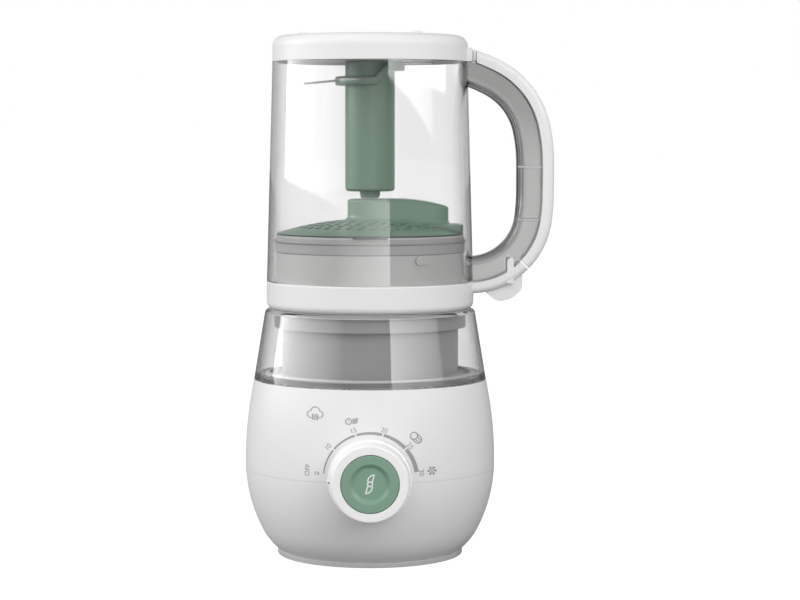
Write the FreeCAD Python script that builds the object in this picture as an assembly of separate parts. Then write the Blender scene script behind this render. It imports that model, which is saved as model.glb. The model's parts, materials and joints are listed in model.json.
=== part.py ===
import FreeCAD, Part
import math
import os
from FreeCAD import Vector

# Baby food maker: a steaming and blending jar that stands upside down on its base.
# Millimetres. The origin is on the table under the base's axis, +Z up,
# the dial faces -Y and the jar's handle points to +X.

# Heights of the stacked mouldings, from the table up
FOOT_DROP = 0.5
PLATE_RIM_H = 3.2
HEEL_H = 12.8
BELLY_H = 40.5
SHOULDER_H = 50.2
TANK_H = 39.8
SEAT_T = 3.0
LID_RING_H = 16.4
CUP_STAND = 28.3
JAR_INSIDE_H = 131.4
CAP_H = 15.5

# Radii of the small edges, and the share of half a width that rounds a slot's end
HAIR_EDGE = 0.3
FINE_EDGE = 0.5
SOFT_EDGE = 0.8
BROAD_EDGE = 1.0
DEEP_EDGE = 2.0
FULL_ROUND = 0.98

# Outer radius at the bowl's widest line, and how far each moulding steps in from its neighbour
BELLY_R = 75.75
HEEL_STEP = 9.65
FOOT_STEP = 9.8
SHOULDER_STEP = 5.35
TANK_TAPER = 7.0
LID_STEP = 0.7
JAR_STEP = 0.15
JAR_DRAFT = 3.75
CAP_STEP = 0.1

# Walls and clearances
SHELL_WALL = 2.6
PLATE_WALL = 2.5
TANK_WALL = 2.4
JAR_WALL = 2.8
JAR_FLOOR_T = 3.8
CAP_WALL = 2.4
CUP_WALL = 2.0
STRAINER_WALL = 1.8
LID_FLOOR_T = 2.5
RUN_GAP = 0.05
SLIDE_GAP = 0.3
FIT_GAP = 0.15

# Base plate, feet and screws
PLATE_LEDGE = 0.5
FOOT_PAD_R = 6.0
FOOT_PAD_SINK = 1.0
FOOT_PAD_INSET = 9.3
FOOT_ANGLES = (30, 150, 210, 330)
SCREW_R = 1.5
SCREW_HEAD_R = 2.8
SCREW_SLOT_HALF = 0.4
SCREW_HEAD_H = 2.2
BOSS_R = 4.0
HOUSING_BOSS_H = 16.0
HOUSING_SCREW_INSET = 10.3
HOUSING_SCREW_ANGLES = (66, 114, 246, 294)
VENT_COUNT = 12
VENT_IN_R = 12.0
VENT_OUT_R = 26.0
VENT_WIDTH = 3.0

# Bowl split and the lap that closes it
PARTING_DROP = 3.5
LAP_DEPTH = 4.0
LAP_ROOT = 3.0
LAP_T = 1.25
HOUSING_FLANGE_T = 3.0
HOUSING_FLANGE_LAP = 4.0

# Dial: knob, push button, timer and switch behind it
DIAL_DROP = 1.0
PEDESTAL_R = 23.8
PEDESTAL_PROUD = 0.65
KNOB_GAP = 0.4
KNOB_DEPTH = 18.2
KNOB_BACK_R = 24.6
KNOB_FRONT_R = 22.3
KNOB_STEP = 0.4
KNOB_SKIRT_DEPTH = 6.8
KNOB_WALL = 2.2
KNOB_EDGE = 1.2
BUTTON_R = 16.65
BUTTON_H = 7.0
BUTTON_WALL = 1.8
BUTTON_FACE_T = 4.3
BUTTON_TRAVEL = 2.5
DISH_RIM_R = 11.6
DISH_FLOOR_R = 9.4
DISH_DEPTH = 1.8
HUB_R = 9.0
HUB_BORE_R = 6.8
PLUNGER_R = 4.0
BUTTON_SPRING_R = 5.4
SPRING_WIRE_R = 0.45
BUTTON_SPRING_TURNS = 9
TIMER_SIZE = 34.0
TIMER_SETBACK = 9.0
TIMER_SOCKET = 9.0
TIMER_BOSS_X = 13.0
SWITCH_W = 20.0
SWITCH_H = 12.0
SWITCH_DEPTH = 8.0
SWITCH_WALL = 2.0
SWITCH_GAP = 2.0
TAG_T = 0.8
TAG_L = 4.0
DIAL_ROOM = 6.25

# Cord gland at the back
GLAND_RISE = 36.3
GLAND_R = 5.0
GLAND_BORE_R = 3.25
GLAND_FLANGE_R = 8.0
GLAND_FLANGE_T = 2.2
GLAND_EDGE = 1.2
GLAND_PAD_R = 10.0
GLAND_PAD_PROUD = 0.5
GLAND_REACH = 10.0

# Water tank
TANK_GAP = 8.5
TANK_FLANGE_T = 3.0
TANK_FLANGE_W = 6.0
TANK_EDGE = 2.6
CORE_WALL = 2.5
CORE_EDGE = 1.5
CORE_BAND_INSET = 2.4
CORE_BAND_H = 8.0
GASKET_W = 3.0
GASKET_H = 1.5
FILLER_RISE = 21.8
FILLER_BORE_R = 8.2
FILLER_BOSS_R = 11.0
FILLER_BOSS_REACH = 3.0
PLUG_HEAD_R = 10.5
PLUG_HEAD_H = 4.6
PLUG_STEM_H = 9.0
PLUG_RING_R = 0.9
PLUG_GRIP_W = 3.0
PLUG_GRIP_H = 3.0

# Seat for the jar's lid
TANK_LIP = 3.0
TANK_TOP_DROP = 0.4
WELL_WALL = 2.7
WELL_DEPTH = 9.0
WELL_FLOOR_T = 2.0
SEAL_R = 10.0
SEAL_H = 6.0
COLLAR_WALL = 3.0
PIN_INSET = 8.0
PIN_R = 3.0
PIN_PROUD = 4.5
PIN_EDGE = 1.5
PIN_COLLAR_R = 4.8
PIN_COLLAR_H = 2.0
PIN_GUIDE_H = 6.0
PIN_STEM_R = 2.0
PIN_SPRING_R = 3.4
PIN_SPRING_H = 8.0
PIN_SPRING_TURNS = 4
PIN_STEM_GAP = 2.6
INTERLOCK_W = 20.0
INTERLOCK_H = 12.0
INTERLOCK_DEPTH = 14.0
PAD_T = 3.0

# Motor and drive
SHAFT_R = 4.0
SHAFT_RECESS = 1.0
MOTOR_POST_OFFSET = 5.4
MOTOR_POST_R = 4.5
MOTOR_POST_H = 28.0
DAMPER_H = 3.0
DAMPER_R = 6.0
BRACKET_T = 3.0
BRACKET_CORNER = 6.0
BRACKET_WINDOW_SPAN = 50.0
BEARING_R = 8.0
BEARING_H = 6.0
BEARING_WALL = 3.0
STATOR_HALF = 27.0
STATOR_H = 36.0
LOWER_PILLAR_H = 13.0
STATOR_BORE_R = 17.0
AIR_GAP = 0.5
MOTOR_BOLT_INSET = 5.5
MOTOR_BOLT_R = 1.9
PILLAR_R = 3.8
PILLAR_H = 10.0
COIL_INSET = 1.5
COIL_W = 6.5
COIL_H = 6.0
COIL_SPAN = 120.0
COMMUTATOR_R = 9.3
COMMUTATOR_H = 9.5
BRUSH_W = 10.0
BRUSH_H = 8.0
BRUSH_L = 14.0
FAN_R = 30.0
FAN_H = 9.0
FAN_DISC_T = 2.0
FAN_HUB_R = 7.0
FAN_BLADES = 12
FAN_BLADE_T = 1.6
FAN_GAP = 2.0
COUPLING_R = 12.0
COUPLING_H = 5.0
COUPLING_TEETH = 6
COUPLING_TOOTH_H = 2.5
COUPLING_LIFT = 0.4

# Steam side: boiler, heater, hoses and nozzle
BOILER_ROOM = 5.5
BOILER_SIDE_ROOM = 3.9
BOILER_RIM = 2.0
BOILER_FLANGE_T = 2.0
BOILER_POST_H = 49.0
BOILER_H = 36.0
BOILER_WALL = 3.0
BOILER_LID_T = 3.0
BOILER_POST_DX = 6.0
BOILER_POST_INSET = 6.0
BOILER_POST_R = 3.5
HEATER_R = 2.5
HEATER_LIFT = 10.0
HEATER_SWEEP = 300.0
HEATER_TAIL = 8.0
THERMOSTAT_R = 6.0
THERMOSTAT_H = 5.0
THERMOSTAT_GAP = 0.5
NOZZLE_EDGE = 1.0
OUTLET_INSET = 4.5
STUB_R = 3.0
STUB_BORE_R = 1.8
STUB_H = 6.0
TANK_STUB_H = 8.0
HOSE_WALL = 1.5
NOZZLE_R = 4.6
NOZZLE_BORE_R = 2.5
NOZZLE_FLANGE_R = 6.0
NOZZLE_FLANGE_T = 1.5
NOZZLE_TAIL = 8.0
GROMMET_R = 6.0
GROMMET_BORE_R = 3.0

# Control board
BOARD_INSET = 9.1
BOARD_ROOM = 4.6
BOARD_HALF_Y = 26.0
BOARD_T = 1.6
BOARD_POST_H = 15.0
BOARD_POST_R = 3.0
BOARD_POST_INSET = 4.0
BOARD_MIDDLE_POST = 9.0
RELAY_SIZE = (12.0, 16.0, 10.0)
SUPPLY_SIZE = (14.0, 16.0, 12.0)
CAPACITOR_R = 4.0
CAPACITOR_H = 11.0
BOARD_EDGE = 2.0

# Lid, cup, seal and strainer
LID_EDGE = 4.0
LID_RING_T = 4.9
CUP_DRAFT = 0.9
CUP_RING_GAP = 0.3
SPIGOT_WALL = 1.8
SPIGOT_GAP = 0.6
SPIGOT_DEPTH = 3.0
RISER_R = 6.0
RISER_BORE_R = 4.0
RISER_H = 35.5
CUP_LUG_W = 9.5
CUP_LUG_H = 5.2
CUP_LUG_PROUD = 1.4
CUP_LUG_ANGLE = -58.3
CUP_LUG_GAP = 0.3
SEAL_BAND_H = 9.6
SEAL_BAND_DROP = 1.0
SEAL_SEAT_DEPTH = 0.9
SEAL_LEDGE_DROP = 3.2
SEAL_BAND_PROUD = 0.7
SEAL_LIP_PROUD = 1.9
SEAL_LIP_H = 1.4
STRAINER_INSET = 0.2
STRAINER_RISE = 8.4
STRAINER_RIM_H = 0.9
TOWER_R = 13.6
TOWER_TOP = 21.3
TOWER_EDGE = 1.8
TOWER_FLARE = 3.0
HOOD_INSET = 9.1
HOOD_FLAT_X = 16.0
HOOD_FALL = 4.6
HOOD_CORNER = 9.0
LEDGE_TOP = 5.9
LEDGE_MARGIN = 0.4
STRAINER_TAB_HALF_W = 10.0
STRAINER_TAB_PROUD = 1.6
STRAINER_TAB_H = 1.2
HOLE_R = 1.9
HOLE_PITCH = 7.0
HOLE_RING_STEP = 5.4
HOLE_TOWER_GAP = 2.0
HOLE_EDGE = 9.5

# Jar: cap, spindle and blades
JAR_DISH_RISE = 1.8
JAR_DISH_R = 44.0
JAR_DISH_SLOPE = 6.0
JAR_HUB_R = 10.0
JAR_HUB_H = 6.4
BUSH_R = 7.0
BUSH_STAND = 0.3
CAP_LAP = 0.8
CAP_EDGE = 6.5
CAP_SKIRT_GAP = 0.3
CAP_WELL_R = 22.0
CAP_WELL_THIN = 0.4
CAP_WELL_EDGE = 1.5
CAP_LUGS = 3
CAP_LUG_R = 41.0
CAP_LUG_W = 8.5
CAP_LUG_T = 4.0
CAP_LUG_H = 1.8
CAP_LUG_START = -56.0
EAR_REACH = 2.6
EAR_HALF_W = 9.0
EAR_H = 8.2
EAR_EDGE = 1.2
CLIP_T = 2.3
CLIP_GAP = 0.4
SPINDLE_R = 4.0
SPINDLE_ENTRY = 56.0
SPINDLE_SEAL_H = 1.3
SPINDLE_SEAL_R = 9.0
JAR_COUPLING_H = 4.6
HUB_COLUMN_R = 15.0
TIP_GAP = 0.5
COLUMN_EDGE = 2.0
TIP_H = 4.2
TIP_R = 6.4
TIP_END_R = 5.6
BLADE_T = 1.2
BLADE_ROOT_DEPTH = 2.0
BLADE_LOW_R = 40.2
BLADE_HIGH_R = 38.0
BLADE_ROOT_W = 13.0
BLADE_LOW_DROP = 10.8
BLADE_HIGH_DROP = 0.6
BLADE_LOW_TILT = 5.0
BLADE_HIGH_TILT = -1.5
BLADE_LOW_SPAN = (150.0, 261.0)
BLADE_HIGH_SPAN = (-28.0, 40.0)
BLADE_PROUD = 0.3
COLLAR_R = 21.0
COLLAR_H = 5.4
COLLAR_EDGE = 1.2
LOW_COLLAR_SPAN = (105.0, 282.0)
HIGH_COLLAR_SPAN = (-52.0, 70.0)
RAMP_STEP = 0.4
RAMP_LIFT = 0.3
RAMP_LEAN = 1.9
RAMP_LAP = 3.0
RAMP_TURN = 1.5

# Handle, drawn as tangent arcs around the finger gap
FINGER_GAP = 26.25
HANDLE_TOP_DROP = 61.3
HANDLE_BOTTOM_RISE = 54.9
HANDLE_UPPER_ARCS = ((110.0, 12.5), (56.0, 62.5), (107.0, 78.0))
HANDLE_LOWER_ARCS = ((150.0, -7.0), (50.0, -94.0))
HANDLE_DEPTH = 22.0
HANDLE_HALF_W = 11.0
COVER_DEPTH = 7.0
COVER_WALL = 2.2
COVER_EDGE = 4.0
COVER_END_ANGLE = -44.0
SEAM_ANGLE = 1.0
FRAME_WALL = 2.4
FRAME_EDGE = 5.0
FRAME_RIB_T = 1.2
FRAME_RIB_DROPS = (1.3, 33.3)
TONGUE_INSET = 26.15
TONGUE_W = 3.9
TONGUE_H = 14.2
TONGUE_GAP = 0.6
TAB_HALF_W = 7.0
TAB_START = 6.9
TAB_L = 22.4
TAB_RISE = 3.6
TAB_CORNER = 6.0
TAB_ROUNDS = (5.0, 8.0, 11.0, 6.0)

# Levels worked out from the heights
PLATE_Z = FOOT_DROP
PLATE_TOP_Z = PLATE_Z + PLATE_WALL
PAD_TOP_Z = PLATE_TOP_Z + PLATE_WALL
FOOT_TOP_Z = PLATE_Z + PLATE_RIM_H
HEEL_Z = FOOT_TOP_Z + HEEL_H
BELLY_Z = HEEL_Z + BELLY_H
SHOULDER_Z = BELLY_Z + SHOULDER_H
CORE_TOP_Z = SHOULDER_Z + TANK_H
SEAT_Z = CORE_TOP_Z + SEAT_T
WELL_Z = SEAT_Z - WELL_DEPTH
LID_TOP_Z = SEAT_Z + LID_RING_H
CUP_TOP_Z = LID_TOP_Z + CUP_STAND
CUP_LUG_Z = CUP_TOP_Z - SEAL_BAND_DROP - SEAL_BAND_H - CUP_LUG_GAP - CUP_LUG_H / 2
JAR_CEILING_Z = LID_TOP_Z + JAR_INSIDE_H
JAR_TOP_Z = JAR_CEILING_Z + JAR_FLOOR_T
CAP_Z = JAR_CEILING_Z + CAP_LAP
CAP_TOP_Z = CAP_Z + CAP_H
PARTING_Z = BELLY_Z - PARTING_DROP
DIAL_Z = BELLY_Z - DIAL_DROP
GLAND_Z = FOOT_TOP_Z + GLAND_RISE
FILLER_Z = SHOULDER_Z + FILLER_RISE
MOTOR_POST_TOP = PLATE_TOP_Z + MOTOR_POST_H
LOWER_BRACKET_Z = MOTOR_POST_TOP + DAMPER_H
STATOR_BOTTOM = LOWER_BRACKET_Z + BRACKET_T + LOWER_PILLAR_H
STATOR_TOP = STATOR_BOTTOM + STATOR_H
UPPER_BRACKET_Z = STATOR_TOP + PILLAR_H
BOILER_BOTTOM = PLATE_TOP_Z + BOILER_POST_H
BOARD_Z = PLATE_TOP_Z + BOARD_POST_H
COLUMN_BOTTOM = CUP_TOP_Z + TOWER_TOP + TIP_GAP + TIP_H
HANDLE_HIGH_Z = CAP_Z - HANDLE_TOP_DROP
HANDLE_LOW_Z = LID_TOP_Z + HANDLE_BOTTOM_RISE
TONGUE_TOP_Z = LID_TOP_Z + TONGUE_H
TAB_BOTTOM_Z = SEAT_Z + TAB_RISE

# Radii and places worked out from their neighbours
HEEL_R = BELLY_R - HEEL_STEP
FOOT_R = HEEL_R - FOOT_STEP
SHOULDER_R = BELLY_R - SHOULDER_STEP
TANK_TOP_R = SHOULDER_R - TANK_TAPER
TANK_FLANGE_R = SHOULDER_R - TANK_WALL - TANK_FLANGE_W
CORE_R = TANK_FLANGE_R - TANK_GAP
LID_R = TANK_TOP_R - LID_STEP
JAR_MOUTH_R = LID_R - JAR_STEP
JAR_END_R = JAR_MOUTH_R - JAR_DRAFT
CAP_R = JAR_END_R + CAP_STEP
CUP_R = LID_R - LID_RING_T - CUP_RING_GAP
STRAINER_R = CUP_R - CUP_DRAFT - STRAINER_INSET
HOOD_X = STRAINER_R - HOOD_INSET
LEDGE_HALF_W = TOWER_R + TOWER_FLARE + LEDGE_MARGIN
HOLE_FIRST_R = TOWER_R + TOWER_FLARE + HOLE_R + HOLE_TOWER_GAP
HOLE_LAST_R = STRAINER_R - HOLE_EDGE
HOLE_CLEAR_Y = LEDGE_HALF_W + 1.5 * HOLE_R
SEAT_R = TANK_TOP_R - TANK_LIP
CORE_BAND_R = SEAT_R - CORE_BAND_INSET
CORE_BORE_R = CORE_R - CORE_WALL
HOUSING_FLANGE_R = CORE_BORE_R - HOUSING_FLANGE_LAP
WELL_R = CORE_BORE_R - SLIDE_GAP - WELL_WALL
PIN_Y = WELL_R - PIN_INSET
STEAM_X = WELL_R - NOZZLE_FLANGE_R - NOZZLE_EDGE
WATER_X = CORE_R + OUTLET_INSET
BOILER_X = (STEAM_X + WATER_X) / 2
BOILER_FLANGE_R = min(BOILER_X - STATOR_HALF - BOILER_ROOM, SHOULDER_R - BOILER_SIDE_ROOM - BOILER_X)
BOILER_R = BOILER_FLANGE_R - BOILER_RIM
THERMOSTAT_Y = STUB_R + HOSE_WALL + THERMOSTAT_R + THERMOSTAT_GAP
FOOT_CIRCLE_R = FOOT_R - FOOT_PAD_INSET
HOUSING_SCREW_R = FOOT_R - HOUSING_SCREW_INSET
MOTOR_BOLT_XY = STATOR_HALF - MOTOR_BOLT_INSET
MOTOR_POST_XY = MOTOR_BOLT_XY + MOTOR_POST_OFFSET
LOWER_BRACKET_HALF = MOTOR_POST_XY + DAMPER_R
BOARD_X0 = BOARD_INSET - HEEL_R
BOARD_X1 = -(MOTOR_POST_XY + MOTOR_POST_R + BOARD_ROOM)
COIL_IN_R = STATOR_BORE_R + COIL_INSET
COIL_OUT_R = COIL_IN_R + COIL_W
HANDLE_REACH = JAR_MOUTH_R + FINGER_GAP + HANDLE_DEPTH
ARM_TOP_ANGLE = COVER_END_ANGLE - SEAM_ANGLE
TONGUE_X = HANDLE_REACH - TONGUE_INSET
TAB_X0 = LID_R + TAB_START
TAB_X1 = TAB_X0 + TAB_L
CLIP_X = CAP_R + EAR_REACH

# Depths of the dial's stack along Y, from the knob's face back
PEDESTAL_Y = -(BELLY_R + PEDESTAL_PROUD)
KNOB_BACK_Y = PEDESTAL_Y - KNOB_GAP
KNOB_FRONT_Y = KNOB_BACK_Y - KNOB_DEPTH
TIMER_FRONT_Y = -(BELLY_R - TIMER_SETBACK)
SWITCH_STACK = BUTTON_TRAVEL + SWITCH_GAP + SWITCH_DEPTH + TAG_L
TIMER_BACK_Y = -(STATOR_HALF + DIAL_ROOM + SWITCH_STACK)
SOCKET_FLOOR_Y = TIMER_FRONT_Y + TIMER_SOCKET
GLAND_FACE_Y = BELLY_R + GLAND_PAD_PROUD

X_AXIS = Vector(1, 0, 0)
Y_AXIS = Vector(0, 1, 0)
Z_AXIS = Vector(0, 0, 1)


# Drawing helpers

def rounded_wire(corners, place):
    """Closed wire through (a, b, radius) corners, each rounded by a tangent arc; place maps (a, b) to 3-D."""
    points = [place(c[0], c[1]) for c in corners]
    radii = [c[2] if len(c) > 2 else 0.0 for c in corners]
    starts, ends, middles = [], [], []
    for i, point in enumerate(points):
        to_last = (points[i - 1] - point).normalize()
        to_next = (points[(i + 1) % len(points)] - point).normalize()
        half = to_last.getAngle(to_next) / 2
        reach = radii[i] / math.tan(half) if radii[i] else 0.0
        starts.append(point + to_last * reach)
        ends.append(point + to_next * reach)
        if radii[i]:
            middle = (to_last + to_next).normalize()
            middles.append(point + middle * (radii[i] / math.sin(half) - radii[i]))
        else:
            middles.append(None)
    edges = []
    for i in range(len(points)):
        if middles[i] is not None:
            edges.append(Part.Arc(starts[i], middles[i], ends[i]).toShape())
        following = starts[(i + 1) % len(points)]
        if (following - ends[i]).Length > 1e-6:
            edges.append(Part.LineSegment(ends[i], following).toShape())
    return Part.Wire(edges)


def lathe(corners):
    """Solid turned about Z from (r, z, corner radius) corners."""
    return Part.Face(rounded_wire(corners, lambda r, z: Vector(r, 0, z))).revolve(Vector(), Z_AXIS, 360)


def lathe_y(corners, z):
    """Solid turned about the line along Y at height z, from (r, y, corner radius) corners."""
    face = Part.Face(rounded_wire(corners, lambda r, y: Vector(r, y, z)))
    return face.revolve(Vector(0, 0, z), Y_AXIS, 360)


def rod(r, z0, z1, x=0.0, y=0.0):
    return Part.makeCylinder(r, z1 - z0, Vector(x, y, z0), Z_AXIS)


def rod_y(r, y0, y1, x=0.0, z=0.0):
    return Part.makeCylinder(r, y1 - y0, Vector(x, y0, z), Y_AXIS)


def tube(r_out, r_in, z0, z1, x=0.0, y=0.0):
    return rod(r_out, z0, z1, x, y).cut(rod(r_in, z0, z1, x, y))


def block(x0, x1, y0, y1, z0, z1):
    return Part.makeBox(x1 - x0, y1 - y0, z1 - z0, Vector(x0, y0, z0))


def plate(half, corner, z0, z1):
    """Square plate centred on Z with rounded corners."""
    corners = [(half, half, corner), (-half, half, corner), (-half, -half, corner), (half, -half, corner)]
    return Part.Face(rounded_wire(corners, lambda x, y: Vector(x, y, z0))).extrude(Vector(0, 0, z1 - z0))


def slab_y(corners, half):
    """Solid of an outline in the XZ plane, spread evenly to both sides of it."""
    wire = rounded_wire(corners, lambda x, z: Vector(x, -half, z))
    return Part.Face(wire).extrude(Vector(0, 2 * half, 0))


def sector(r_in, r_out, z0, z1, start, sweep):
    """Part of a ring about Z, from the angle start over sweep degrees."""
    corners = [(r_in, z0), (r_out, z0), (r_out, z1), (r_in, z1)]
    solid = Part.Face(rounded_wire(corners, lambda r, z: Vector(r, 0, z))).revolve(Vector(), Z_AXIS, sweep)
    solid.rotate(Vector(), Z_AXIS, start)
    return solid


def turned(shape, angle):
    copy = shape.copy()
    copy.rotate(Vector(), Z_AXIS, angle)
    return copy


def on_circle(radius, angles):
    return [(radius * math.cos(math.radians(a)), radius * math.sin(math.radians(a))) for a in angles]


def corners_of(half):
    return [(sx * half, sy * half) for sx in (1, -1) for sy in (1, -1)]


def fuse(first, *others):
    return first.multiFuse(list(others)).removeSplitter()


def cut(shape, *tools):
    return shape.cut(Part.makeCompound(list(tools))) if tools else shape


def arc_middle(start, corner, end):
    """Middle of the arc that leaves start towards corner and arrives at end."""
    chord_middle = (start + end) * 0.5
    half_chord = (end - start).Length / 2
    height = (corner - chord_middle).Length
    sag = half_chord * math.tan(math.atan2(height, half_chord) / 2)
    return chord_middle + (corner - chord_middle).normalize() * sag


def biarc(p0, t0, p1, t1):
    """Two tangent arcs from p0 along t0 to p1 along t1."""
    chord = p1 - p0
    both = t0 + t1
    a = both.dot(both) - 4
    b = -2 * chord.dot(both)
    c = chord.dot(chord)
    root = math.sqrt(b * b - 4 * a * c)
    reach = max((-b - root) / (2 * a), (-b + root) / (2 * a))
    q0 = p0 + t0 * reach
    q1 = p1 - t1 * reach
    joint = (q0 + q1) * 0.5
    return [Part.Arc(p0, arc_middle(p0, q0, joint), joint).toShape(),
            Part.Arc(joint, arc_middle(joint, q1, p1), p1).toShape()]


def coil_spring(radius, wire_r, length, turns):
    """Coil spring about Z from z = 0 to length, one unbroken wire."""
    pitch = (length - 2 * wire_r) / turns
    if pitch - 2 * wire_r < 0.4:
        print("coil spring: turns closer than 0.4 mm")
    quarters = 4 * turns
    lead = pitch / (2 * math.pi)

    def station(i):
        a = i * math.pi / 2
        point = Vector(radius * math.cos(a), radius * math.sin(a), wire_r + lead * a)
        return point, Vector(-radius * math.sin(a), radius * math.cos(a), lead).normalize()

    edges = []
    for i in range(quarters):
        edges += biarc(*station(i), *station(i + 1))
    start, heading = station(0)
    section = Part.Wire(Part.Circle(start, heading, wire_r).toShape())
    return Part.Wire(edges).makePipeShell([section], True, False)


# Bowl outline: two arcs that meet upright at the widest line, and a tighter heel arc below

def arc_radius(rise, inset):
    """Radius of an arc that starts upright and moves in by inset over rise."""
    return (rise ** 2 + inset ** 2) / (2 * inset)


UPPER_ARC = arc_radius(SHOULDER_H, BELLY_R - SHOULDER_R)
LOWER_ARC = arc_radius(BELLY_H, BELLY_R - HEEL_R)
HEEL_POINT = Vector(HEEL_R, 0, HEEL_Z)
HEEL_NORMAL = (Vector(BELLY_R - LOWER_ARC, 0, BELLY_Z) - HEEL_POINT).normalize()
HEEL_CHORD = Vector(FOOT_R - PLATE_LEDGE, 0, FOOT_TOP_Z) - HEEL_POINT
HEEL_ARC = HEEL_CHORD.dot(HEEL_CHORD) / (2 * HEEL_NORMAL.dot(HEEL_CHORD))
HEEL_CENTRE = HEEL_POINT + HEEL_NORMAL * HEEL_ARC


def bowl_r(z, inset=0.0):
    """Bowl radius at height z, measured inset below its outer face."""
    if z >= BELLY_Z:
        return BELLY_R - UPPER_ARC + math.sqrt((UPPER_ARC - inset) ** 2 - (z - BELLY_Z) ** 2)
    if z >= HEEL_Z + inset * HEEL_NORMAL.z:
        return BELLY_R - LOWER_ARC + math.sqrt((LOWER_ARC - inset) ** 2 - (z - BELLY_Z) ** 2)
    return HEEL_CENTRE.x + math.sqrt((HEEL_ARC - inset) ** 2 - (z - HEEL_CENTRE.z) ** 2)


def bowl_edges(z0, z1, inset):
    """Arcs of the bowl's outline from z0 up to z1."""
    stops = [z for z in (HEEL_Z + inset * HEEL_NORMAL.z, BELLY_Z) if z0 + 1e-6 < z < z1 - 1e-6]
    levels = [z0] + stops + [z1]
    edges = []
    for low, high in zip(levels, levels[1:]):
        heights = (low, (low + high) / 2, high - 1e-9)
        edges.append(Part.Arc(*[Vector(bowl_r(z, inset), 0, z) for z in heights]).toShape())
    return edges


def bowl_ring(z0, z1, outer, inner):
    """Ring of the bowl's wall between two insets."""
    outside = bowl_edges(z0, z1, outer)
    inside = bowl_edges(z0, z1, inner)
    top = Part.LineSegment(Vector(bowl_r(z1, outer), 0, z1), Vector(bowl_r(z1, inner), 0, z1)).toShape()
    bottom = Part.LineSegment(Vector(bowl_r(z0, outer), 0, z0), Vector(bowl_r(z0, inner), 0, z0)).toShape()
    wire = Part.Wire(Part.__sortEdges__(outside + inside + [top, bottom]))
    return Part.Face(wire).revolve(Vector(), Z_AXIS, 360)


def bowl_solid(z0, z1, inset):
    """The bowl's outline filled in to the axis."""
    rim = bowl_edges(z0, z1, inset)
    points = [Vector(bowl_r(z1, inset), 0, z1), Vector(0, 0, z1), Vector(0, 0, z0),
              Vector(bowl_r(z0, inset), 0, z0)]
    lines = [Part.LineSegment(a, b).toShape() for a, b in zip(points, points[1:])]
    return Part.Face(Part.Wire(Part.__sortEdges__(rim + lines))).revolve(Vector(), Z_AXIS, 360)


# Handle outline: a point is given by its inset from the outer line and the angle of the line's normal

def handle_normal(angle):
    return Vector(math.cos(math.radians(angle)), 0, math.sin(math.radians(angle)))


def handle_arcs(start, arcs):
    """(centre, radius, first angle, last angle) of tangent arcs from an upright start."""
    placed = []
    point, angle = start, 0.0
    for radius, last in arcs:
        centre = point - handle_normal(angle) * radius
        placed.append((centre, radius, angle, last))
        point, angle = centre + handle_normal(last) * radius, last
    return placed


UPPER_HANDLE = handle_arcs(Vector(HANDLE_REACH, 0, HANDLE_HIGH_Z), HANDLE_UPPER_ARCS)
LOWER_HANDLE = handle_arcs(Vector(HANDLE_REACH, 0, HANDLE_LOW_Z), HANDLE_LOWER_ARCS)


def handle_point(angle, inset):
    arcs = UPPER_HANDLE if angle >= 0 else LOWER_HANDLE
    for centre, radius, first, last in arcs:
        if min(first, last) - 1e-9 <= angle <= max(first, last) + 1e-9:
            return centre + handle_normal(angle) * (radius - inset)
    return None


def handle_edges(inset, top, bottom):
    """Edges of the handle's line at an inset, from the angle top down to the angle bottom."""
    edges = []
    for centre, radius, first, last in list(reversed(UPPER_HANDLE)) + LOWER_HANDLE:
        high = min(max(first, last), top)
        low = max(min(first, last), bottom)
        if high - low < 1e-6:
            continue
        angles = (high, (high + low) / 2, low)
        edges.append(Part.Arc(*[centre + handle_normal(a) * (radius - inset) for a in angles]).toShape())
    if top > 0 > bottom:
        ends = [Vector(HANDLE_REACH - inset, 0, z) for z in (HANDLE_HIGH_Z, HANDLE_LOW_Z)]
        edges.append(Part.LineSegment(*ends).toShape())
    return edges


def handle_strip(outer, inner, top, bottom, half):
    """Band of the handle between two insets and two angles, spread to both sides."""
    caps = []
    for angle in (top, bottom):
        caps.append(Part.LineSegment(handle_point(angle, outer), handle_point(angle, inner)).toShape())
    edges = handle_edges(outer, top, bottom) + handle_edges(inner, top, bottom) + caps
    face = Part.Face(Part.Wire(Part.__sortEdges__(edges)))
    face.translate(Vector(0, -half, 0))
    return face.extrude(Vector(0, 2 * half, 0))


def handle_line_inset(point):
    """How far below the handle's outer line a point of the XZ plane lies."""
    if HANDLE_LOW_Z <= point.z <= HANDLE_HIGH_Z:
        return HANDLE_REACH - point.x
    arcs = UPPER_HANDLE if point.z > HANDLE_HIGH_Z else LOWER_HANDLE
    insets = []
    for centre, radius, first, last in arcs:
        spoke = Vector(point.x, 0, point.z) - centre
        angle = math.degrees(math.atan2(spoke.z, spoke.x))
        if min(first, last) - 0.5 <= angle <= max(first, last) + 0.5:
            insets.append(radius - spoke.Length)
    return insets[0] if insets else None


def round_strip(strip, inset, half, radius):
    """Round the two long edges of a handle strip that follow one inset line."""
    chosen = []
    for edge in strip.Edges:
        middle = edge.valueAt((edge.FirstParameter + edge.LastParameter) / 2)
        depth = handle_line_inset(middle)
        along = abs(abs(middle.y) - half) < 1e-6
        if along and depth is not None and abs(depth - inset) < 1e-4:
            chosen.append(edge)
    return strip.makeFillet(radius, chosen)


# Base: plate, feet, housing shells and their screws

def screw_places():
    return on_circle(HOUSING_SCREW_R, HOUSING_SCREW_ANGLES)


def boiler_post_places():
    return [(BOILER_X - BOILER_POST_DX, sy * (BOILER_R - BOILER_POST_INSET)) for sy in (1, -1)]


def board_post_places():
    edge = BOARD_X1 - BOARD_POST_INSET
    side = BOARD_HALF_Y - BOARD_POST_INSET
    return [(edge, side), (edge, -side), (BOARD_X1 - BOARD_MIDDLE_POST, 0.0)]


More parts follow.
